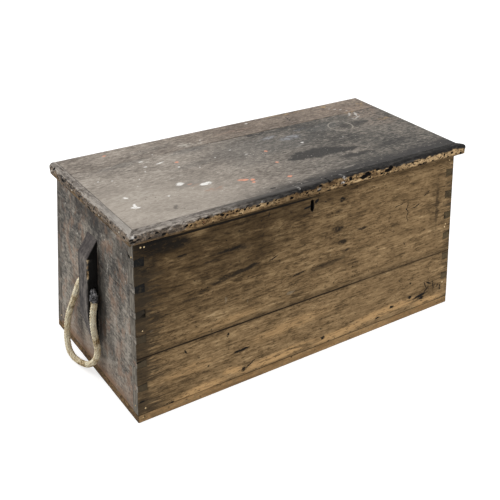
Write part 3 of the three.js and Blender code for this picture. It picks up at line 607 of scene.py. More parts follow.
def endPaint(name, depthSides, pinSides, along, marks):
    f = Finish(name)
    streak, fibre, mottle, broad = f.grain(along, (3, 1, 5))
    cloud = f.noise((16, 16, 11), 5, 0.68, (1, 2, 3))
    down = f.noise((60, 60, 14), 4, 0.66, (4, 4, 4))
    tone = cloud * 0.3 + mottle * 0.44 + down * 0.14 + streak * 0.12 - f.z * 0.12 + 0.03
    f.colour = f.ramp(tone, (0.41, 58, 55, 52), (0.46, 92, 88, 83), (0.51, 124, 118, 109),
                      (0.57, 162, 154, 143))
    sooty = f.noise((22, 22, 15), 5, 0.72, (5, 3, 9)).soft(0.53, 0.62)
    sooty = (sooty * 0.42).most(f.depth(pinSides[1]).soft(0.034, 0.022) * 0.2)
    f.over(sooty, 64, 62, 61)
    across = f.y if along == 1 else f.x
    face = f.ragged(across, f.z, 0.016, 50)
    rubbed = f.noise((24, 24, 17), 5, 0.72, (8, 1, 0)).soft(0.5, 0.6)
    rubbed = rubbed.most(f.marks(face, marks["brown"]) * cloud.soft(0.4, 0.6))
    rubbed = rubbed.most(f.z.soft(0.1, 0.02) * streak.soft(0.33, 0.55))
    f.over(rubbed * 0.5, 148, 118, 97)
    worn = f.z.soft(0.045, 0.022) * (streak * 0.5 + mottle * 0.5).soft(0.42, 0.52)
    f.over(worn * 0.75, 132, 100, 72)
    slant = f.joined(across + f.z * 0.6, f.z - across * 0.6)
    streaks = f.noise((240, 22, 1), 3, 0.6, (0, 0, 7), slant).soft(0.64, 0.7)
    f.over(streaks.most(down.soft(0.64, 0.7)) * 0.5, 182, 175, 164)
    # Dark marks; on the ends, some of them are the cleat's and the rope's shadow, painted in
    f.over(f.marks(face, marks["dark"]) * mottle.soft(0.26, 0.5) * 0.9, 30, 27, 25)
    joint = (f.z - chest["endJoint"]).size().soft(0.0022, 0.0005) * broad.soft(0.42, 0.6) * 0.8
    foot = (f.z - chest["bottomTop"]).size().soft(0.003, 0.0006)
    depth = f.depth(depthSides[0]).least(f.depth(depthSides[1]))
    side = f.depth(pinSides[0]).least(f.depth(pinSides[1]))
    gauge = (side - chest["gaugeLine"]).size().soft(0.0016, 0.0004)
    gauge = gauge * f.z.soft(0.1, 0.4) * cloud.soft(0.35, 0.5)
    f.over(joint.most(foot).most(gauge) * 0.7, 36, 32, 28)
    flecks = f.specks(52, 0.15, (3, 7, 1)) * cloud.soft(0.46, 0.6)
    f.over(f.marks(face, marks["pale"]).most(flecks * 0.7), 198, 192, 182)
    pits = f.specks(60, 0.17, (9, 2, 6)) * broad.soft(0.45, 0.6)
    f.over(pits * 0.75, 32, 29, 26)
    f.over(f.attribute("wear") * 0.7, 140, 122, 98)
    outside = f.colour
    f.over(depth.soft(0.008, 0.016), cleanPine(f, along))
    pin = side.soft(0.0016, 0.0008) * depth.soft(0.0004, 0.0014)
    if along == 1:
        brown = mottle.soft(0.5, 0.66) * 0.3 + f.z.soft(0.34, 0.16) * 0.7
        pinEnd = f.mix(brown, rgb(16, 16, 16), rgb(78, 67, 50))
        pinEnd = f.mix(f.x.soft(0, 0.1) * (mottle.soft(0.4, 0.6) * 0.3 + 0.3), pinEnd, rgb(98, 83, 58))
        pinEnd = f.mix(f.y.soft(0, 0.1) * 0.85, pinEnd, outside)
    else:
        pinEnd = f.mix(down.soft(0.4, 0.6), rgb(74, 69, 63), rgb(118, 111, 102))
    f.over(pin, pinEnd)
    height = fibre * 0.3 + mottle * 0.5 + down * 0.2 - rubbed * 0.15
    return f.done(0.62 + cloud * 0.3, height, 0.65, 0.0013)


# The lid: thin dark paint, dust and splashes

lidMarks = {
    "white": [
        (-401.5, -112, 11, 4, 1, -22), (-399.5, -103, 9, 3.5, 1, 75), (-214, -84, 16, 8, 0.9, 3),
        (-265, -57, 12, 9, 0.62, 20), (-399, -60, 4, 6.5, 0.8, 40), (-283, 95, 7, 3, 0.6),
        (-288, 64, 6, 3, 0.6), (-248, 67, 14, 2.5, 0.6, 15),
    ],
    "dots": [
        (-315, -98, 3, 3, 0.9), (-221, 25, 3, 3, 0.9), (117, 2, 4.5, 3.2, 0.9), (67, 180, 4.5, 3, 0.8),
        (-415, 44, 2.5, 2, 0.8), (-386, 33, 2.5, 2, 0.8), (-65, 51, 3, 2, 0.7), (-95, 143, 3, 2, 0.7),
        (-330, 10, 2, 2, 0.8), (-300, 40, 2, 2, 0.8), (-180, 0, 2, 2, 0.8), (-350, -20, 2, 2, 0.7),
        (-120, 30, 2, 2, 0.7), (-240, 120, 2.5, 1.5, 0.7), (340, 150, 5, 3, 0.5),
        (352, 140, 4, 2.5, 0.6), (362, 126, 4, 2, 0.5), (328, 160, 4, 2, 0.5), (230, -20, 2.5, 2, 0.5),
        (-45, 9, 5, 2.5, 0.4, 10),
    ],
    "strokes": [
        (366, 92, 3, 15, 0.8, -25), (352, 102, 9, 2, 0.7, 60), (344, 93, 9, 2, 0.6, 20),
        (356, 72, 15, 2, 0.8, 24), (338, 68, 9, 2, 0.5, -30), (106, -8, 10, 3, 0.22, 10),
        (90, -15, 12, 2, 0.2, 10),
    ],
    "orange": [
        (-133, -110, 13, 5.5, 1, -20), (-113, -120, 6, 5, 0.9, 30), (-246, -69, 8, 3, 0.4),
        (-211, 52, 6, 4, 0.7), (7, 2, 4.5, 4.5, 0.9), (-8, -67, 4, 4, 0.8), (-29, -147, 6, 5, 0.9),
        (-118, -132, 5, 4, 0.8), (-342, 170, 6, 2.5, 0.8),
    ],
    "dark": [
        (108, -68, 84, 24, 1, -5), (50, -72, 34, 14, 1), (165, -84, 62, 13, 1, -5),
        (190, -124, 62, 9, 0.6, -4), (-99, -183, 4, 3, 1), (99, -177, 4, 3, 1),
        (250, -40, 90, 12, 0.3, 6), (42, 105, 32, 5, 0.9, -5), (190, 156, 2, 17, 0.9),
        (320, -110, 90, 12, 0.5, 4), (-326, -153, 9, 9, 0.4), (196, 84, 52, 14, 0.45, 8),
        (331, 34, 38, 15, 0.5, 4), (282, 38, 22, 20, 0.5), (130, 100, 70, 9, 0.4, 2),
        (20, 90, 60, 12, 0.3, 4),
    ],
    "cloud": [
        (-20, 30, 130, 60, 0.3), (60, 20, 120, 40, 0.3), (-150, 100, 50, 20, 0.35, 4),
        (-220, 150, 80, 14, 0.3, 6), (-60, -30, 60, 30, 0.2), (-250, -70, 40, 12, 0.25, 6),
        (230, 60, 60, 26, 0.4, 4), (-330, 100, 70, 12, 0.3, 8), (-180, 20, 70, 12, 0.25, 6),
    ],
    "blue": [(58, 68, 26, 7, 0.8, 6), (114, 45, 32, 13, 0.85, 8), (164, 80, 22, 7, 0.8, 10)],
    "pale": [
        (-145, 134, 22, 15, 0.8, 10), (-120, 128, 20, 7, 0.5), (-212, 159, 20, 5, 0.8, 24),
        (-275, 92, 16, 8, 0.5), (-255, -20, 30, 6, 0.4, 10), (-380, -60, 50, 20, 0.3),
    ],
    "pink": [
        (-243, -80, 15, 8, 0.7, 10), (390, 100, 56, 56, 0.55), (400, 20, 50, 30, 0.35),
        (140, 21, 6, 6, 0.9), (330, 150, 60, 16, 0.4),
    ],
    "rust": [(-214, -121, 20, 9, 0.7, -8), (-196, -117, 10, 6, 0.6), (6, 150, 60, 8, 0.2)],
    "tan": [
        (320, 183, 14, 6, 0.9), (363, 112, 20, 5, 0.4), (415, 29, 24, 5, 0.4), (200, 188, 60, 6, 0.4),
        (430, 150, 14, 20, 0.4),
    ],
}


def lidPaint():
    f = Finish("lid paint")
    streak, fibre, mottle, broad = f.grain(0, (11, 4, 2))
    cloud = f.noise((9, 14, 14), 5, 0.66, (1, 6, 3))
    grit = f.noise((85, 330, 330), 3, 0.72, (4, 1, 8))
    tone = cloud * 0.3 + mottle * 0.28 + streak * 0.1 + grit * 0.32
    # Lighter towards the left, most of all at the left front, and darker to the right: partly dust,
    # partly a painted sheen
    left = f.ramp(tone, (0.42, 98, 90, 82), (0.5, 141, 132, 122), (0.58, 176, 167, 156))
    right = f.ramp(tone, (0.43, 52, 50, 47), (0.5, 92, 88, 82), (0.57, 138, 129, 119))
    reach = f.x + f.y * 0.2 + (cloud - 0.5) * 0.5
    f.colour = f.mix(reach.soft(-0.2, 0.2), left, right)
    dustAndSheen = (f.y + f.x * 0.25).soft(0, -0.17) * f.x.soft(-0.02, -0.26)
    f.over(dustAndSheen * 0.48, 178, 168, 156)
    face = f.ragged(f.x, f.y, 0.009, 130)
    softFace = f.ragged(f.x, f.y, 0.03, 40)
    front = (f.y + chest["rimHalfDepth"] + (broad - 0.5) * 0.07 - f.x * 0.05).soft(0.044, 0)
    front = front * f.x.soft(-0.3, -0.03)
    f.over(front * 0.9, 48, 46, 45)
    f.over(f.marks(softFace, lidMarks["cloud"]), 84, 85, 84)
    strip = f.y.soft(chest["lidJoint"] - 0.001, chest["lidJoint"] + 0.001)
    brown = f.ramp(tone, (0.42, 92, 80, 70), (0.5, 131, 116, 103), (0.58, 164, 148, 132))
    f.over(strip * (f.x.soft(-0.3, 0.1) * 0.55 + 0.15), brown)
    for group, colour in (("pink", (152, 132, 116)), ("rust", (160, 124, 104)), ("tan", (178, 150, 106)),
                          ("blue", (142, 143, 147)), ("pale", (188, 181, 170))):
        f.over(f.marks(softFace, lidMarks[group]) * mottle.soft(0.42, 0.56), *colour)
    darkened = f.marks(softFace, lidMarks["dark"]).soft(0, 0.75)
    f.over(darkened * 0.92, 49, 47, 45)
    ring = ringMark(f, (0.2725, 0.0425), 0.0325)
    f.over(ring * 0.6, 170, 162, 150)
    joint = (f.y - chest["lidJoint"]).size().soft(0.003, 0.0005) * f.x.soft(-0.14, -0.08)
    joint = joint * mottle.soft(0.3, 0.5) * (1 - f.x.soft(0.06, 0.16) * 0.55)
    leftSeam = (f.x + chest["rimHalfLength"]).soft(0.0019, 0.0004) * 0.75
    frontSeam = (f.y + chest["rimHalfDepth"]).soft(0.0026, 0.0004) * f.x.soft(0.22, 0.34)
    f.over(joint.most(leftSeam).most(frontSeam) * 0.75, 34, 31, 28)
    scratches = f.noise((14, 90, 9), 4, 0.7, (2, 0, 0)).soft(0.62, 0.7)
    f.over(scratches * 0.35, 184, 175, 164)
    dust = f.specks(80, 0.17) * cloud.soft(0.44, 0.58) * f.x.soft(0.5, -0.1)
    fine = f.specks(150, 0.2, (7, 1, 3)) * mottle.soft(0.48, 0.58)
    f.over(dust.most(fine) * 0.65, 205, 198, 188)
    pits = f.specks(66, 0.15, (2, 8, 4)) * broad.soft(0.46, 0.6)
    f.over(pits * 0.65, 46, 43, 40)
    dotFace = f.ragged(f.x, f.y, 0.002, 260)
    splash = mottle.soft(0.34, 0.48)
    for group, colour in (("orange", (222, 154, 128)), ("white", (238, 235, 230))):
        blots = f.marks(f.ragged(f.x, f.y, 0.005, 190), lidMarks[group])
        f.over(blots.soft(0.15, 0.7) * splash, *colour)
    f.over(f.marks(face, lidMarks["strokes"]), 206, 202, 196)
    f.over(f.marks(dotFace, lidMarks["dots"]), 236, 233, 228)
    under = f.z.soft(chest["lidFoot"] + 0.0014, chest["lidFoot"] + 0.0007)
    f.over(under * f.x.soft(0.4505, 0.4495), cleanPine(f, 0, (5, 1, 0)))
    height = fibre * 0.3 + mottle * 0.5 + streak * 0.2
    return f.done(0.5 + cloud * 0.3, height, 0.5, 0.0011, specular=0.2)


def ringMark(f, centre, radius):
    spot = f.vector("SUBTRACT", f.joined(f.x, f.y), (*centre, 0))
    away = (f.vector("LENGTH", spot, output="Value") - radius).size()
    return away.soft(0.003, 0.0008) * f.noise(40, 2).soft(0.3, 0.5)


# The mouldings: the lid's paint above, worn to wormy bare wood on the outside


def mouldingWood(name, along):
    f = Finish(name)
    streak, fibre, mottle, broad = f.grain(along, (1, 8, 2))
    fine = f.noise(210, 4, 0.7, (3, 5, 1))
    patch = f.noise((28, 28, 60), 4, 0.66, (5, 1, 9))
    tone = mottle * 0.45 + streak * 0.35 + fibre * 0.2
    light = f.ramp(tone, (0.42, 80, 74, 69), (0.5, 125, 118, 111), (0.58, 166, 158, 149))
    dark = f.ramp(tone, (0.4, 12, 11, 10), (0.5, 32, 30, 29), (0.6, 66, 63, 60))
    dim = (f.x + (broad - 0.5) * 0.2).soft(-0.34, -0.14)
    f.colour = f.mix(dim, light, dark)
    top = chest["lidTop"]
    rubbed = (f.z + (mottle - 0.5) * 0.03).soft(top - 0.0013, top - 0.0063) * (1 - dim)
    worn = f.ramp(tone * 0.5 + fine * 0.5, (0.44, 24, 19, 15), (0.5, 82, 70, 58),
                  (0.56, 148, 126, 102))
    if along == 0:
        worn = f.mix(0.45, worn, rgb(44, 36, 28))
    f.over(rubbed * 0.85, worn)
    bare = f.ramp(mottle * 0.4 + streak * 0.35 + fine * 0.25, (0.42, 70, 53, 35),
                  (0.48, 120, 96, 67), (0.54, 156, 130, 94), (0.6, 200, 174, 134))
    arris = (f.z - (top - 0.0024)).size().soft(0.0012, 0.0003) * fine.soft(0.4, 0.55) * (1 - dim)
    f.over(arris * 0.45, 190, 180, 168)
    if along == 1:
        f.over(f.y.soft(0.02, -0.15) * f.z.soft(top - 0.0038, top - 0.0003) * 0.6, 176, 170, 162)
        f.over(f.y.soft(0, -0.06) * f.z.soft(top - 0.0038, top - 0.0058) * 0.25, 150, 134, 116)
    inner = f.y.soft(-0.2125, -0.1985) * f.x.soft(0.1, -0.04) * dim
    f.over(inner * 0.7, 104, 100, 96)
    mask = f.attribute("bare")
    smoked = (f.x + 0.045).size().soft(0.14, 0.05) * 0.4 + patch.soft(0.5, 0.62) * 0.2
    bare = f.mix(f.x.soft(0.2, 0.3) * fine.soft(0.36, 0.5) * 0.5, bare, rgb(206, 176, 134))
    bare = f.mix(smoked, bare, rgb(70, 54, 36))
    f.over(mask * (1 - f.x.soft(-0.44, -0.46) * 0.55), bare)
    lip = f.z.soft(chest["lidFoot"] + 0.0075, chest["lidFoot"] + 0.004)
    f.over(lip * 0.8, f.ramp(streak, (0.38, 70, 56, 39), (0.6, 134, 108, 75)))
    blots = f.noise((60, 60, 120), 4, 0.7, (2, 7, 4)).soft(0.55, 0.6)
    f.over(blots * mask * 0.8, 44, 34, 24)
    if along == 0:
        # Painted shadow at the foot of the front moulding: its lowest few mm darkened almost to black,
        # not at the left end and weaker towards the right
        foot = f.z.soft(chest["lidFoot"] + 0.0044, chest["lidFoot"] + 0.0022) * f.x.soft(-0.36, -0.26)
        f.over(foot * (f.x.soft(0.34, 0.12) * 0.45 + 0.4), 22, 15, 9)
    f.over(f.specks(110, 0.24) * mask * broad.soft(0.42, 0.52), 10, 7, 5)
    f.over(f.attribute("pit").soft(0.1, 0.4), 7, 6, 5)
    scuff = f.attribute("scuff")
    f.over(scuff * fine.soft(0.45, 0.55), 190, 186, 181)
    f.over(scuff * f.noise(170, 3, 0.6).soft(0.55, 0.6), 20, 18, 17)
    height = fibre * 0.4 + fine * 0.5 - f.attribute("pit") * 0.6
    return f.done(0.58 + mask * 0.3, height, 0.6, 0.0012, specular=0.08)


# The cleats, and what isn't seen of the wood


def cleatPaint():
    f = Finish("cleat paint")
    streak, fibre, mottle, broad = f.grain(2, (4, 4, 1))
    tone = streak * 0.35 + mottle * 0.45 + broad * 0.2
    f.colour = f.ramp(tone, (0.42, 46, 42, 41), (0.5, 84, 79, 76), (0.58, 124, 117, 111))
    taper = f.z.soft(0.315, 0.326)
    f.over(taper * 0.5, 68, 62, 62)
    deep = f.y.soft(chest["cleatFront"], chest["cleatFront"] - 0.002)  # its side in shadow
    f.over(deep * 0.97, 7, 6, 5)
    chip = (f.attribute("wear") + (mottle - 0.5) * 0.8).soft(0.35, 0.6)
    raw = f.ramp(mottle, (0.38, 84, 60, 38), (0.5, 160, 134, 100), (0.6, 216, 194, 158))
    f.over(chip, raw)
    pits = f.specks(80, 0.17) * broad.soft(0.46, 0.6)
    f.over(pits * 0.7, 30, 27, 25)
    pale = f.noise((60, 60, 12), 4, 0.7, (3, 3, 3)).soft(0.6, 0.7) * (1 - deep)
    f.over(pale * 0.5, 150, 143, 134)
    return f.done(0.6 + streak * 0.25, fibre * 0.4 + mottle * 0.6, 0.7, 0.0013)


def bottomWood():
    f = Finish("bottom wood")
    streak, fibre, mottle, broad = f.grain(0, (2, 9, 6))
    tone = streak * 0.3 + mottle * 0.4 + broad * 0.3
    f.colour = f.ramp(tone, (0.37, 92, 69, 43), (0.48, 146, 116, 79), (0.6, 182, 152, 110))
    side = f.depth("left").least(f.depth("right"))
    endGrain = f.ramp(f.noise((60, 90, 420), 4, 0.66), (0.4, 74, 58, 42), (0.5, 122, 98, 68),
                      (0.6, 164, 134, 96))
    f.over(side.soft(0.003, 0.001), endGrain)
    corner = f.x.soft(-0.3, -0.47).most(f.x.soft(0.36, 0.46)) * mottle.soft(0.4, 0.56)
    f.over((corner * 0.7).most(mottle.soft(0.44, 0.56) * 0.5), 72, 56, 38)
    f.over(f.specks(60, 0.24, (1, 1, 1)) * broad.soft(0.45, 0.55) * 0.85, 36, 26, 17)
    f.over(f.z.soft(0.0025, 0) * 0.7, 62, 48, 34)
    inside = f.z.soft(0.0185, 0.019)
    f.over(inside, cleanPine(f, 0, (9, 3, 0)))
    return f.done(0.8, fibre * 0.4 + mottle * 0.6, 0.6, 0.0013)


def innerPine(name, along):
    f = Finish(name)
    streak, fibre = f.grain(along, (6, 2, 7))[:2]
    f.colour = cleanPine(f, along, (6, 2, 7))
    return f.done(0.72 + fibre * 0.15, fibre * 0.5 + streak * 0.4, 0.4)


def rustyIron():
    f = Finish("rusty iron")
    cloud = f.noise(90, 5, 0.65)
    fine = f.noise(420, 4, 0.65, (3, 1, 2))
    f.colour = f.ramp(cloud * 0.6 + fine * 0.4, (0.36, 38, 31, 28), (0.5, 74, 54, 42),
                      (0.6, 112, 72, 46), (0.7, 140, 96, 62))
    metal = (cloud * 0.6 + fine * 0.4).soft(0.55, 0.42) * 0.8
    return f.done(0.5 + fine * 0.35, fine * 0.6 + cloud * 0.4, 0.6, 0.0006, metallic=metal)


def nailIron(name, low, middle, high):
    f = Finish(name)
    fine = f.noise(700, 4, 0.65)
    f.colour = f.ramp(fine, (0.36, *low), (0.5, *middle), (0.64, *high))
    return f.done(0.4 + fine * 0.3, fine, 0.4, 0.0004, specular=0.4)


def strawRope():
    f = Finish("straw rope")
    across = f.attribute("turn") * 26 + f.attribute("strand") * 9
    fibres = f.noise((1, 90, 1), 4, 0.7, (0, 0, 0), f.joined(across, f.attribute("run"), 0))
    patch = f.noise(38, 3, 0.6)
    f.colour = f.ramp(fibres * 0.6 + patch * 0.4, (0.4, 128, 100, 64), (0.46, 222, 198, 154),
                      (0.54, 255, 246, 218))
    # Painted shadow in the rope's creases, where one yarn meets the next and in the hollows between the
    # strands
    shadeBetweenYarns = (f.attribute("turn") * (4 * math.tau)).cosine().soft(-0.3, -0.9)
    shadeInGrooves = (f.attribute("away") + (patch - 0.5) * 0.002).soft(0.0075, 0.006)
    f.over((shadeBetweenYarns * 0.35).most(shadeInGrooves * 0.85), 84, 62, 38)
    dirt = f.noise(60, 4, 0.68, (4, 0, 0)).soft(0.55, 0.66)
    f.over(dirt * 0.6, 96, 78, 56)
    return f.done(0.85, fibres, 0.9, 0.0012)


def tarredTwine():
    f = Finish("tarred twine")
    across = f.attribute("turn") * 20 + f.attribute("strand") * 5
    fibres = f.noise((1, 120, 1), 4, 0.7, (0, 0, 0), f.joined(across, f.attribute("run"), 0))
    patch = f.noise(120, 4, 0.65)
    f.colour = f.ramp(fibres * 0.6 + patch * 0.4, (0.42, 14, 13, 14), (0.49, 72, 70, 73),
                      (0.57, 186, 183, 183))
    return f.done(0.5 + patch * 0.2, fibres, 0.9, 0.001, specular=0.4)


finishes = {
    "front": frontWood(), "lid": lidPaint(), "cleat": cleatPaint(),
    "frontMoulding": mouldingWood("front moulding wood", 0),
    "leftMoulding": mouldingWood("left moulding wood", 1),
    "end": endPaint("end paint", ("left", "right"), ("front", "back"), 1, endMarks),
    "back": endPaint("back paint", ("back", "back"), ("left", "right"), 0, backMarks),
    "bottom": bottomWood(), "till": innerPine("till pine", 1), "batten": innerPine("batten pine", 1),
    "iron": rustyIron(), "rope": strawRope(), "twine": tarredTwine(),
    "nail": nailIron("nail heads", (140, 108, 68), (206, 176, 122), (240, 222, 186)),
    "paleNail": nailIron("pale nail heads", (196, 170, 140), (240, 230, 212), (255, 252, 246)),
}
print("finishes made:", len(finishes))

# The beckets: three-strand rope, closed by a dark elbow and turns of twine

becket = {
    "holeHeight": 237.2, "holeFromWall": 12.4, "ropeRadius": 7.25, "strandRadius": 4.0,
    "centreRadius": 3.25, "lay": 21.0, "looseStrand": 4.2, "looseCentre": 3.8,
    "twineRadius": 2.35, "twineCentre": 7.6, "twinePitch": 5.6, "seizingHeight": 18.0,
    # across the wall, up it and out of it, from the middle of the hole, in mm
    "route": [
        (-25.6, 0, 0), (-32, 0, 0), (-39.5, -3, -0.1), (-47, -9.5, -0.4), (-55.5, -20, -1),
        (-66, -35.5, -1.8), (-77.5, -56, -1.9), (-88.5, -80.5, -0.2), (-97, -105, 3.6),
        (-102.3, -127, 8), (-103.5, -147, 11.6),
        (-100, -171, 15.4), (-91, -194, 19.2), (-75, -212, 21.4), (-56, -221.5, 19.6), (-37, -224, 15.2),
        (-18, -222, 10.4), (0, -215, 6.6), (18, -201, 3), (32, -183, 0.6), (40, -164, -0.4),
        (44, -145, 0.4), (44.4, -127, 3), (42.4, -107, 5.8), (39.4, -82, 7.6), (37.2, -57, 7),
        (36.5, -39, 4.4), (36.5, -30, 3.1), (36.5, -22, 3.1),
    ],
    "elbow": [(-25.3, 0, 0), (-10, 0, 0), (8, 0, 0), (22, 0, 0), (30, -1.6, 0.4), (34.5, -7, 1.4),
              (36.2, -14, 2.6), (36.5, -21, 3.1)],
}


def becketLine(side, points):
    seat = walls[side] @ Vector((0, becket["holeHeight"] * mm, becket["holeFromWall"] * mm))
    turn = walls[side].to_3x3()
    return [seat + turn @ (Vector(p) * mm) for p in points]


def lengthOf(points):
    return sum((b - a).length for a, b in zip(points, points[1:]))


def joinedMesh(name, meshes, materials):
    bm = bmesh.new()
    for number, mesh in enumerate(meshes):
        start = len(bm.faces)
        bm.from_mesh(mesh)
        bm.faces.ensure_lookup_table()
        for face in bm.faces[start:]:
            face.material_index = number
    whole = bpy.data.meshes.new(name)
    bm.to_mesh(whole)
    bm.free()
    for material in materials:
        whole.materials.append(material)
    return whole


def addBecket(side):
    b = becket
    route = rounded(becketLine(side, b["route"]), 6)
    common = {"Lay": b["lay"] * mm, "Sides": 24, "Yarns": 4.0, "Yarn Depth": 0.06, "Yarn Lay": -0.03,
              "Centre Radius": b["centreRadius"] * mm, "Strand Radius": b["strandRadius"] * mm,
              "Strands": 3}
    mesh = strandMaker.made(polyline(route), common | {
        "Start Turn": 0.0, "Step": 0.0013, "Material": finishes["rope"],
        "Strand Radius": b["looseStrand"] * mm, "Centre Radius": b["looseCentre"] * mm})
    rope = placed(f"{side}_rope", mesh, f"{side}_becket", (f"{side}_becket_rope",),
                  finishes["rope"])
    elbow = strandMaker.made(polyline(rounded(becketLine(side, b["elbow"]), 8)), common | {
        "Start Turn": 0.2, "Step": 0.0014, "Material": finishes["twine"]})
    foot, end = Vector(b["route"][-1]), Vector(b["route"][-1]) + Vector((0, b["seizingHeight"], 0))
    axis = becketLine(side, [foot.lerp(end, t) for t in (0.1, 0.4, 0.7, 1.0)])
    turns = strandMaker.made(polyline(axis), common | {
        "Strands": 1, "Lay": b["twinePitch"] * mm, "Centre Radius": b["twineCentre"] * mm,
        "Strand Radius": b["twineRadius"] * mm, "Start Turn": 0.0, "Step": 0.0003, "Sides": 10,
        "Yarns": 3.0, "Yarn Depth": 0.06, "Yarn Lay": 0.002, "Material": finishes["twine"]})
    whole = joinedMesh(f"{side}_seizing", [elbow, turns], [finishes["twine"], finishes["twine"]])
    seizing = placed(f"{side}_seizing", whole, f"{side}_becket",
                     (f"{side}_becket_seizing",))
    round(lengthOf(route), 4)


for side in ("left", "right"):
    addBecket(side)
print("beckets laid")

# Boards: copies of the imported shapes, cut finer, with worn edges

boardWear = {
    # pieces: body, slot, finish, cut along X, Y and Z, bevel, depth of the chips (mm)
    "front_lower_board": ("chest", "bare_pine", "front", (9, 0, 9), 0.6, 1.5),
    "front_upper_board": ("chest", "bare_pine", "front", (9, 0, 9), 0.6, 1.2),
    "back_lower_board": ("chest", "dark_pine", "back", (14, 0, 14), 0.6, 1.5),
    "back_upper_board": ("chest", "dark_pine", "back", (14, 0, 14), 0.6, 1.2),
    "left_end_lower_board": ("chest", "dark_pine", "end", (0, 9, 9), 0.6, 1.5),
    "left_end_upper_board": ("chest", "dark_pine", "end", (0, 9, 9), 0.6, 1.2),
    "right_end_lower_board": ("chest", "dark_pine", "end", (0, 9, 9), 0.6, 1.5),
    "right_end_upper_board": ("chest", "dark_pine", "end", (0, 9, 9), 0.6, 1.2),
    "bottom_front_board": ("chest", "worn_pine", "bottom", (7, 12, 0), 1.4, 3.0),
    "bottom_middle_board": ("chest", "worn_pine", "bottom", (14, 12, 0), 1.2, 2.5),
    "bottom_back_board": ("chest", "worn_pine", "bottom", (9, 12, 0), 1.4, 3.0),
    "till_front": ("chest", "inner_pine", "till", (0, 14, 14), 0.8, 0.8),
    "till_floor": ("chest", "inner_pine", "till", (14, 14, 0), 0.8, 0.8),
    "lid_front_board": ("lid", "lid_paint", "lid", (10, 10, 0), 0.5, 0.8),
    "lid_back_board": ("lid", "lid_paint", "lid", (10, 10, 0), 0.5, 1.6),
    "lid_left_batten": ("lid", "inner_pine", "batten", (10, 12, 0), 0.8, 1.0),
    "lid_right_batten": ("lid", "inner_pine", "batten", (10, 12, 0), 0.8, 1.0),
    "left_becket_cleat": ("chest", "cleat_wood", "cleat", (0, 5, 5), 0.8, 3.2),
    "right_becket_cleat": ("chest", "cleat_wood", "cleat", (0, 5, 5), 0.8, 3.2),
}
lockBlock = {"board": "front_upper_board", "block": "front_lock_block", "gap": 0.6}
# Where the front arris of each cleat is chipped: from and to up the wall, and how deep
cleatChips = {"across": 25.0, "out": 25.5, "reach": 4.0, "spans": [(262, 323, 3.0), (150, 160, 2.0)]}


def clipped(value):
    return min(1.0, max(0.0, value))


def settled(bm, name, sharpness):
    bmesh.ops.triangulate(bm, faces=[face for face in bm.faces if len(face.verts) > 4])
    mesh = bpy.data.meshes.new(name)
    bm.to_mesh(mesh)
    bm.free()
    mesh.shade_smooth()
    mesh.set_sharp_from_angle(angle=math.radians(sharpness))
    return mesh


def cutFiner(bm, steps):
    for axis, step in enumerate(steps):
        if not step:
            continue
        places = [v.co[axis] for v in bm.verts]
        low, high = min(places), max(places)
        count = max(1, round((high - low) / (step * mm)))
        direction = Vector([1.0 if i == axis else 0.0 for i in range(3)])
        for i in range(1, count):
            bmesh.ops.bisect_plane(
                bm, geom=bm.verts[:] + bm.edges[:] + bm.faces[:], dist=1e-6,
                plane_co=direction * (low + (high - low) * i / count), plane_no=direction)


def withBlock(bm):
    # The board round the lock and the rest of its board are one board again
    bm.from_mesh(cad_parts[lockBlock["block"]].data)
    bmesh.ops.remove_doubles(bm, verts=bm.verts, dist=1e-5)
    bmesh.ops.dissolve_limit(bm, angle_limit=0.01, verts=bm.verts, edges=bm.edges)
    bmesh.ops.remove_doubles(bm, verts=bm.verts, dist=lockBlock["gap"] * mm)
    seen = {}
    for face in bm.faces:
        seen.setdefault(frozenset(v.index for v in face.verts), []).append(face)
    doubled = [face for faces in seen.values() if len(faces) > 1 for face in faces]
    bmesh.ops.delete(bm, geom=doubled, context="FACES")
    return len(doubled)


def chipCleat(bm, wear, side):
    c = cleatChips
    wall = walls[side]
    toWall, front = wall.inverted(), 1 if side == "left" else -1
    for v in bm.verts:
        across, up, out = (toWall @ v.co) / mm
        away = math.hypot(across * front - c["across"], out - c["out"])
        for low, high, depth in c["spans"]:
            inSpan = clipped((up - low) / 6) * clipped((high - up) / 6)
            ragged = 0.65 + 1.1 * noise.noise(Vector((0, 0, up / 3.1))) + 0.5 * noise.noise(v.co * 210)
            amount = inSpan * clipped((1 - away / c["reach"]) * 2.2) * clipped(ragged)
            v[wear] = max(v[wear], amount * 1.1)
            v.co -= wall.to_3x3() @ Vector((front * depth * amount * mm, 0, depth * amount * 0.7 * mm))


def weathered(name, body, slot, finish, steps, bevel, chips):
    bm = bmesh.new()
    bm.from_mesh(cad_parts[name].data)
    replaced = [name]
    if name == lockBlock["board"]:
        print("faces between the board and its lock block:", withBlock(bm))
        replaced.append(lockBlock["block"])
    bmesh.ops.remove_doubles(bm, verts=bm.verts, dist=1e-5)
    bmesh.ops.dissolve_limit(bm, angle_limit=0.01, verts=bm.verts, edges=bm.edges)
    cutFiner(bm, steps)
    sharp = [e for e in bm.edges if len(e.link_faces) == 2 and e.calc_face_angle() > 0.45]
    rim = bmesh.ops.bevel(bm, geom=sharp, offset=bevel * mm, segments=2, profile=0.55,
                          affect="EDGES", clamp_overlap=True)
    wear = bm.verts.layers.float.new("wear")
    bm.normal_update()
    onRim = set(rim["verts"])
    moves = []
    for v in bm.verts:
        p = v.co
        sink = 0.12 * mm * (1 + noise.noise(p * 35))
        if v in onRim:
            rough = noise.noise(p * 48 + Vector((3, 1, 7))) + 0.6 * noise.noise(p * 150)
            chip = clipped(rough * 1.6 - 0.25)
            v[wear] = min(1.0, chip * 1.5 + 0.15)
            sink += chip * chips * mm
        moves.append((v, v.normal * sink))
    for v, move in moves:
        v.co -= move
    if name.endswith("cleat"):
        chipCleat(bm, wear, name.split("_")[0])
    placed(name + "_worn", settled(bm, name + "_worn", 50), body, replaced, finishes[finish])


for name, facts in boardWear.items():
    weathered(name, *facts)
print("boards weathered:", len(boardWear))

# The lid's mouldings: rounded above, eaten by worms outside

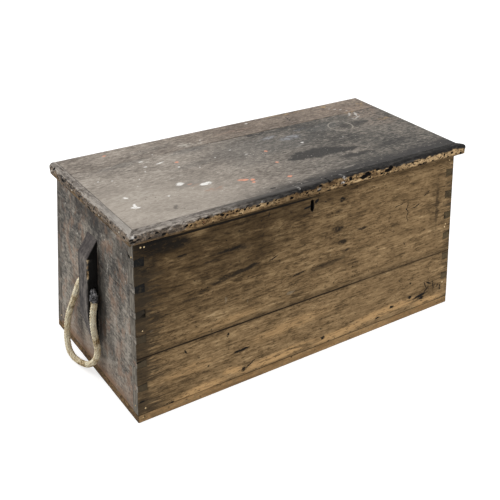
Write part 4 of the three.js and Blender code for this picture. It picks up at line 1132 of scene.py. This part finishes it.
moulding = {
    "height": 24.5, "frontWidth": 23.5, "endWidth": 19.0, "topRadius": 11.0, "footRadius": 4.0,
    "tip": [(462.8, 13.4), (471.0, 24.5), (458.0, 24.5)],  # the worn right tip, along and out
    "heelRadius": 9.0, "step": 2.5, "profileStep": 1.4, "gap": 0.3,
    # how far up the outside the front moulding is bare: along, distance round from the foot
    "bareTo": [(-480, 0), (-436, 0), (-428, 9), (-412, 9), (-405, 2), (-396, 9), (-386, 12), (-376, 0),
               (-357, 2), (-335, 17), (-300, 21), (-250, 22), (-120, 19), (-50, 20), (15, 25),
               (75, 27), (135, 25), (180, 24), (240, 20), (310, 20), (430, 21), (462, 18), (475, 12)],
    # white bits of paint that are left: along, height, half length
    "bits": [(-462, 20, 7), (-464, 4, 4), (-50, 24, 2.5), (1, 13, 5), (70, 13.7, 6), (76, 22, 5),
             (-152, 20, 3)],
    "leftBits": [(-207, 20, 5)],
    # worm holes and broken places: along, height above the foot, half length, half height, depth
    "holes": [
        (-465, 15, 4.5, 2.2, 3), (-461, 9, 6, 2.2, 3), (-456, 18, 2.6, 1.8, 2), (-451, 12, 3, 1.6, 2),
        (-409, 16, 3.4, 2, 1.5), (-394, 9, 4.5, 2.4, 2.5), (-426, 9, 3, 2, 2),
        (-341, 13, 4.5, 2.2, 2.5), (-330, 12, 2.6, 1.8, 2), (-292, 18, 3.4, 1.8, 2),
        (-253, 15, 3.6, 2, 2.2), (-243, 12, 2.5, 2, 2), (-218, 15, 3.4, 2.3, 2.5),
        (-198, 14, 3, 2.4, 2.5), (-165, 13, 6, 2.2, 2.5), (-139, 14, 3.2, 2.4, 2.5),
        (-118, 16, 2.2, 1.6, 1.5), (-75, 10, 4.5, 2.4, 2.5), (-33, 12, 2.6, 2.2, 2),
        (0, 10, 5.5, 2, 2.5), (5, 20, 4, 1.8, 2), (-48, 20, 2.5, 3.5, 2), (33, 23, 3, 2, 2),
        (30, 3.5, 6.5, 1.4, 2), (76, 6, 6, 2.2, 2.5), (93, 17, 4, 4, 2.5), (132, 13, 10, 5, 4.5),
        (144, 17, 8, 4.6, 4.5), (151, 7, 3, 1.8, 2), (175, 21, 5, 1.8, 2), (188, 9, 5, 2.4, 2.5),
        (207, 13, 11, 4, 4.4), (216, 18, 6, 4, 4), (238, 4, 3, 1.2, 1.5), (255, 4, 3, 1.2, 1.5),
        (286, 16, 3, 1.4, 1.5), (299, 16, 3, 1.4, 1.5), (311, 5, 6, 1.8, 2.2), (324, 6, 3, 1.8, 2),
        (354, 6, 3.4, 1.4, 1.8), (392, 13, 2, 3, 2), (406, 5, 3, 1.8, 2), (418, 13, 3.2, 3, 2.5),
        (450, 5, 3.4, 2.4, 2.2),
    ],
    "leftHoles": [(110, 14, 9, 3.2, 3), (167, 21, 4, 2, 2), (-30, 7, 7, 2.2, 2.5), (-55, 5, 5, 2, 2),
                  (-197, 12, 5, 2.6, 3), (20, 12, 4, 1.8, 2), (140, 10, 4, 2, 2)],
    # small holes: from and to along the moulding, how many and how far up
    "frontWorms": ((-330, 460), 120, 20), "leftWorms": ((-205, 185), 90, 19), "seed": 41,
}


def mouldingProfile(width):
    # Out from the wall, up, and the distance round from the outer foot, all in mm
    m = moulding
    outline = [(0.0, 0.0, -width)]
    reach = width - m["footRadius"]
    for i in range(1, 4):
        outline.append((reach * i / 3, 0.0, reach * i / 3 - reach))

    def arc(centreOut, centreUp, radius, fromAngle, start):
        count = max(3, round(radius * math.pi / 2 / m["profileStep"]))
        for i in range(1, count + 1):
            angle = fromAngle + math.pi / 2 * i / count
            outline.append((centreOut + radius * math.cos(angle), centreUp + radius * math.sin(angle),
                            start + radius * math.pi / 2 * i / count))

    arc(reach, m["footRadius"], m["footRadius"], -math.pi / 2, 0.0)
    start, low, high = outline[-1][2], m["footRadius"], m["height"] - m["topRadius"]
    count = round((high - low) / m["profileStep"])
    for i in range(1, count + 1):
        outline.append((width, low + (high - low) * i / count, start + (high - low) * i / count))
    arc(width - m["topRadius"], high, m["topRadius"], 0.0, outline[-1][2])
    start = outline[-1][2]
    inner = width - m["topRadius"]
    for i in range(1, 5):
        outline.append((inner * (1 - i / 4), m["height"], start + inner * i / 4))
    return outline


def tipReach(out):
    # Where the worn right tip of the front moulding ends, at a distance out from the wall
    start, bend, end = moulding["tip"]
    best = chest["rimHalfLength"] / mm + out * moulding["endWidth"] / moulding["frontWidth"]
    if out <= start[1]:
        return best
    for i in range(60):
        t = i / 59
        along = (1 - t) ** 2 * start[0] + 2 * t * (1 - t) * bend[0] + t * t * end[0]
        if (1 - t) ** 2 * start[1] + 2 * t * (1 - t) * bend[1] + t * t * end[1] >= out:
            return along
    return end[0]


def between(table, at):
    for (a, low), (b, high) in zip(table, table[1:]):
        if a <= at <= b:
            return low + (high - low) * (at - a) / (b - a)
    return 0.0


def wormHoles(rng, span, count, top):
    return [(rng.uniform(*span), rng.uniform(2, top), rng.uniform(0.9, 1.9), rng.uniform(0.7, 1.5),
             rng.uniform(0.8, 1.6)) for _ in range(count)]


def mouldingMesh(name, width, ends, place, outward, holes, bits, bareTo, noiseShift):
    # Rings of the profile from one end to the other; each end's reach depends on the way out
    m = moulding
    profile = mouldingProfile(width)
    length = ends[1](0) - ends[0](0)
    count = round(length / m["step"])
    bm = bmesh.new()
    layers = {key: bm.verts.layers.float.new(key) for key in ("bare", "pit", "scuff")}
    rings = []
    for i in range(count + 1):
        ring = []
        for out, up, path in profile:
            along = ends[0](out) + (ends[1](out) - ends[0](out)) * i / count
            p = place(along, out, up)
            v = bm.verts.new(p)
            limit = bareTo(along) + 4 * noise.noise(p * 24 + noiseShift) + 3.5 * noise.noise(p * 110)
            outside = 0.0 if path < -3 else 1.0
            bare = outside * clipped((limit - path) / 2.5 + 0.5)
            pit, sink = 0.0, 0.0
            for holeAt, holeUp, halfLength, halfHeight, depth in holes:
                if abs(along - holeAt) > halfLength * 1.7:
                    continue
                du, dv = (along - holeAt) / halfLength, (up - holeUp) / halfHeight
                ragged = 1 + 0.5 * noise.noise(p * 260)
                inside = max(0.0, 1.25 - (du * du + dv * dv) * ragged)
                if inside > 0 and path > 1:
                    pit = max(pit, min(1.0, inside * 1.6))
                    sink = max(sink, min(1.0, inside) * depth)
            coarse = bare * (0.5 + 0.6 * noise.noise(p * 85))
            rough = (0.35 + 0.35 * noise.noise(p * 120) + coarse) * outside
            scuff = 0.0
            for bitAt, bitUp, halfLength in bits:
                away = math.hypot(along - bitAt, (up - bitUp) * 1.6) / halfLength
                scuff = max(scuff, clipped(1.6 - away * 1.3))
            v[layers["bare"]], v[layers["pit"]] = bare, pit
            v[layers["scuff"]] = scuff if path > 1 else 0.0
            v.co -= outward * max(0.0, min(rough + sink, out - 1.0)) * mm if path > 1 else Vector()
            if path > 18:
                v.co.z -= max(0.0, 0.25 + 0.3 * noise.noise(p * 90)) * mm
            ring.append(v)
        rings.append(ring)
    for a, b in zip(rings, rings[1:]):
        for j in range(len(a)):
            k = (j + 1) % len(a)
            bm.faces.new((a[j], a[k], b[k], b[j]))
    bm.faces.new(rings[0][::-1])
    bm.faces.new(rings[-1])
    bmesh.ops.recalc_face_normals(bm, faces=bm.faces)
    return settled(bm, name, 60)


def addMouldings():
    m = moulding
    rng = random.Random(m["seed"])
    half, halfDepth, foot = (chest[k] / mm for k in ("rimHalfLength", "rimHalfDepth", "lidFoot"))
    small = wormHoles(rng, *m["frontWorms"])
    front = mouldingMesh(
        "lid_front_moulding_worn", m["frontWidth"],
        (lambda out: -half - out * m["endWidth"] / m["frontWidth"], tipReach),
        lambda along, out, up: Vector((along, -halfDepth - out - m["gap"], foot + up)) * mm,
        Vector((0, -1, 0)), m["holes"] + small, m["bits"],
        lambda along: between(m["bareTo"], along), Vector((0, 0, 0)))
    placed("lid_front_moulding_worn", front, "lid", ("lid_front_moulding",),
           finishes["frontMoulding"])

    def heel(out):
        spare = m["endWidth"] - m["heelRadius"]
        if out <= spare:
            return halfDepth
        return halfDepth - m["heelRadius"] + math.sqrt(
            max(0.0, m["heelRadius"] ** 2 - (out - spare) ** 2))

    left = mouldingMesh(
        "lid_left_moulding_worn", m["endWidth"],
        (lambda out: -halfDepth - out * m["frontWidth"] / m["endWidth"] + m["gap"] * 1.6, heel),
        lambda along, out, up: Vector((-half - out - m["gap"], along, foot + up)) * mm,
        Vector((-1, 0, 0)), wormHoles(rng, *m["leftWorms"]) + m["leftHoles"], m["leftBits"],
        lambda along: 8 + 5 * math.sin(along / 21) + 3 * math.sin(along / 7.3), Vector((9, 0, 0)))
    placed("lid_left_moulding_worn", left, "lid", ("lid_left_moulding",),
           finishes["leftMoulding"])


addMouldings()
print("mouldings worn")

# Nails in the corners and the mouldings, and the hinges' screws

nails = {
    "chest": [  # a wall, then across and up its face in mm
        ("front", -436, 421), ("front", -428, 420), ("front", 438, 422), ("front", 445, 244),
        ("front", 453, 69), ("front", -447, 229), ("front", 442, 236), ("front", -455, 34),
        ("front", -462, 12), ("left", 190, 400), ("left", 213, 40), ("left", -205, 40),
        ("right", 190, 400), ("right", -190, 400), ("back", 436, 421), ("back", -438, 420),
        ("back", 447, 229), ("back", -447, 229), ("back", 455, 60), ("back", -455, 60),
    ],
    # the place and the way that the head faces: bright ones at the left, rusty ones in front
    "bright": [
        ((-471, 173.8, 455.5), (-1, 0, 0)), ((-471, -175.3, 456.4), (-1, 0, 0)),
        ((-471, -80, 452.2), (-1, 0, 0)), ((-471, 60, 453), (-1, 0, 0)),
    ],
    "rusty": [
        ((-300, -218.8, 452), (0, -1, 0)), ((-110, -218.8, 449), (0, -1, 0)),
        ((60, -218.8, 450), (0, -1, 0)), ((230, -218.8, 451), (0, -1, 0)),
        ((380, -218.8, 452), (0, -1, 0)),
    ],
    "radius": 2.1, "crown": 1.5, "height": 1.0, "sides": 11, "seed": 7,
    "sunk": 0.3, "sunkInLid": 0.45,
    "screw": 3.3, "screwsAlong": (-25, 0, 25), "screwFromEdge": 9.5, "screwSunk": 0.4,
}


def pointCloud(spots):
    data = bpy.data.meshes.new("points")
    data.from_pydata([tuple(place) for place, facing in spots], [], [])
    ways = data.attributes.new("facing", "FLOAT_VECTOR", "POINT")
    for item, (place, facing) in zip(ways.data, spots):
        item.vector = facing
    return data


def addNails():
    n = nails
    common = {"Sides": n["sides"], "Radius": n["radius"] * mm, "Crown": n["crown"] * mm,
              "Height": n["height"] * mm, "Lean": 0.16, "Seed": n["seed"], "Material": finishes["nail"]}
    onWalls = []
    for side, across, up in n["chest"]:
        wall = walls[side]
        stretch = 1 / wall.col[1].z
        spot = Vector((across * mm, up * stretch * mm, -n["sunk"] * mm))
        onWalls.append((wall @ spot, wall.col[2].to_3d()))
    placed("corner_nails", headMaker.made(pointCloud(onWalls), common), "chest",
           material=finishes["nail"])
    for key, finish in (("bright", "paleNail"), ("rusty", "iron")):
        onLid = [(Vector(place) * mm - Vector(facing) * n["sunkInLid"] * mm, Vector(facing))
                 for place, facing in n[key]]
        common["Material"] = finishes[finish]
        placed(f"{key}_moulding_nails", headMaker.made(pointCloud(onLid), common), "lid",
               material=finishes[finish])
    common |= {"Radius": n["screw"] * mm, "Crown": n["screw"] * mm, "Lean": 0.0,
               "Material": finishes["iron"]}
    for leaf, body, facing in (("lower", "chest", 1), ("upper", "lid", -1)):
        spots = []
        for side in ("left", "right"):
            low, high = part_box(f"{side}_hinge_{leaf}_leaf")
            middle = (low[0] + high[0]) / 2
            face = chest["rimHeight" if facing > 0 else "lidFoot"] - facing * n["screwSunk"] * mm
            deep = low[1] + n["screwFromEdge"] * mm
            spots += [(Vector((middle + shift * mm, deep, face)), Vector((0, 0, facing)))
                      for shift in n["screwsAlong"]]
        placed(f"{leaf}_leaf_screws", screwMaker.made(pointCloud(spots), common), body,
               material=finishes["iron"])


addNails()
print("nails driven")

# Iron

hinges = [f"{side}_hinge_{part}" for side in ("left", "right")
          for part in ("lower_leaf", "upper_leaf", "pin")]
for name in ("lock_plate", "lock_case", "lock_bolt", "lid_catch", *hinges):
    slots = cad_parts[name].data.materials
    slots.clear()
    slots.append(finishes["iron"])

# Floor, world and lamps

studio = {
    "floorSize": 14.0, "floorColour": rgb(205, 205, 205), "floorGlow": 0.66, "world": 0.5,
    "lamps": [  # place, size, watts
        ((-2.6, 2.9, 2.3), 1.7, 95.0), ((1.4, -3.6, 1.6), 2.6, 95.0), ((0.3, -0.4, 4.0), 2.5, 25.0),
    ],
}


def seenRay(graph):
    rays = {v.socket.name: v for v in graph.allOf(graph.node("ShaderNodeLightPath"))}
    return rays["Is Camera Ray"].most(rays["Is Glossy Ray"]).most(rays["Is Transmission Ray"])


def addStudio():
    s = studio
    half = s["floorSize"] / 2
    data = bpy.data.meshes.new("floor")
    data.from_pydata([(-half, -half, 0), (half, -half, 0), (half, half, 0), (-half, half, 0)], [],
                     [(0, 1, 2, 3)])
    floor = linked(bpy.data.objects.new("floor", data))
    f = Finish("floor")
    plain = f.node("ShaderNodeBsdfDiffuse", None, {"Color": s["floorColour"]})
    glow = f.node("ShaderNodeEmission", None, {"Color": (1.0, 1.0, 1.0), "Strength": s["floorGlow"]})
    lit = f.node("ShaderNodeAddShader", None, {0: plain, 1: glow})
    f.node("ShaderNodeOutputMaterial", None, {"Surface": f.node("ShaderNodeMixShader", None, {
        0: seenRay(f), 1: plain, 2: lit})})
    data.materials.append(f.material)
    world = bpy.data.worlds.new("studio")
    bpy.context.scene.world = world
    world.use_nodes = True
    world.node_tree.nodes.clear()
    g = Graph(world.node_tree)
    seen = seenRay(g)
    g.node("ShaderNodeOutputWorld", None, {"Surface": g.node("ShaderNodeBackground", None, {
        "Color": (1.0, 1.0, 1.0), "Strength": seen * (1 - s["world"]) + s["world"]})})
    for number, (place, size, watts) in enumerate(s["lamps"]):
        lamp = bpy.data.lights.new(f"lamp{number}", "AREA")
        lamp.size, lamp.energy = size, watts
        holder = linked(bpy.data.objects.new(f"lamp{number}", lamp))
        holder.location = place
        aim = Vector((0, 0, 0.2)) - Vector(place)
        holder.rotation_euler = aim.to_track_quat("-Z", "Y").to_euler()


addStudio()
print("studio lit")
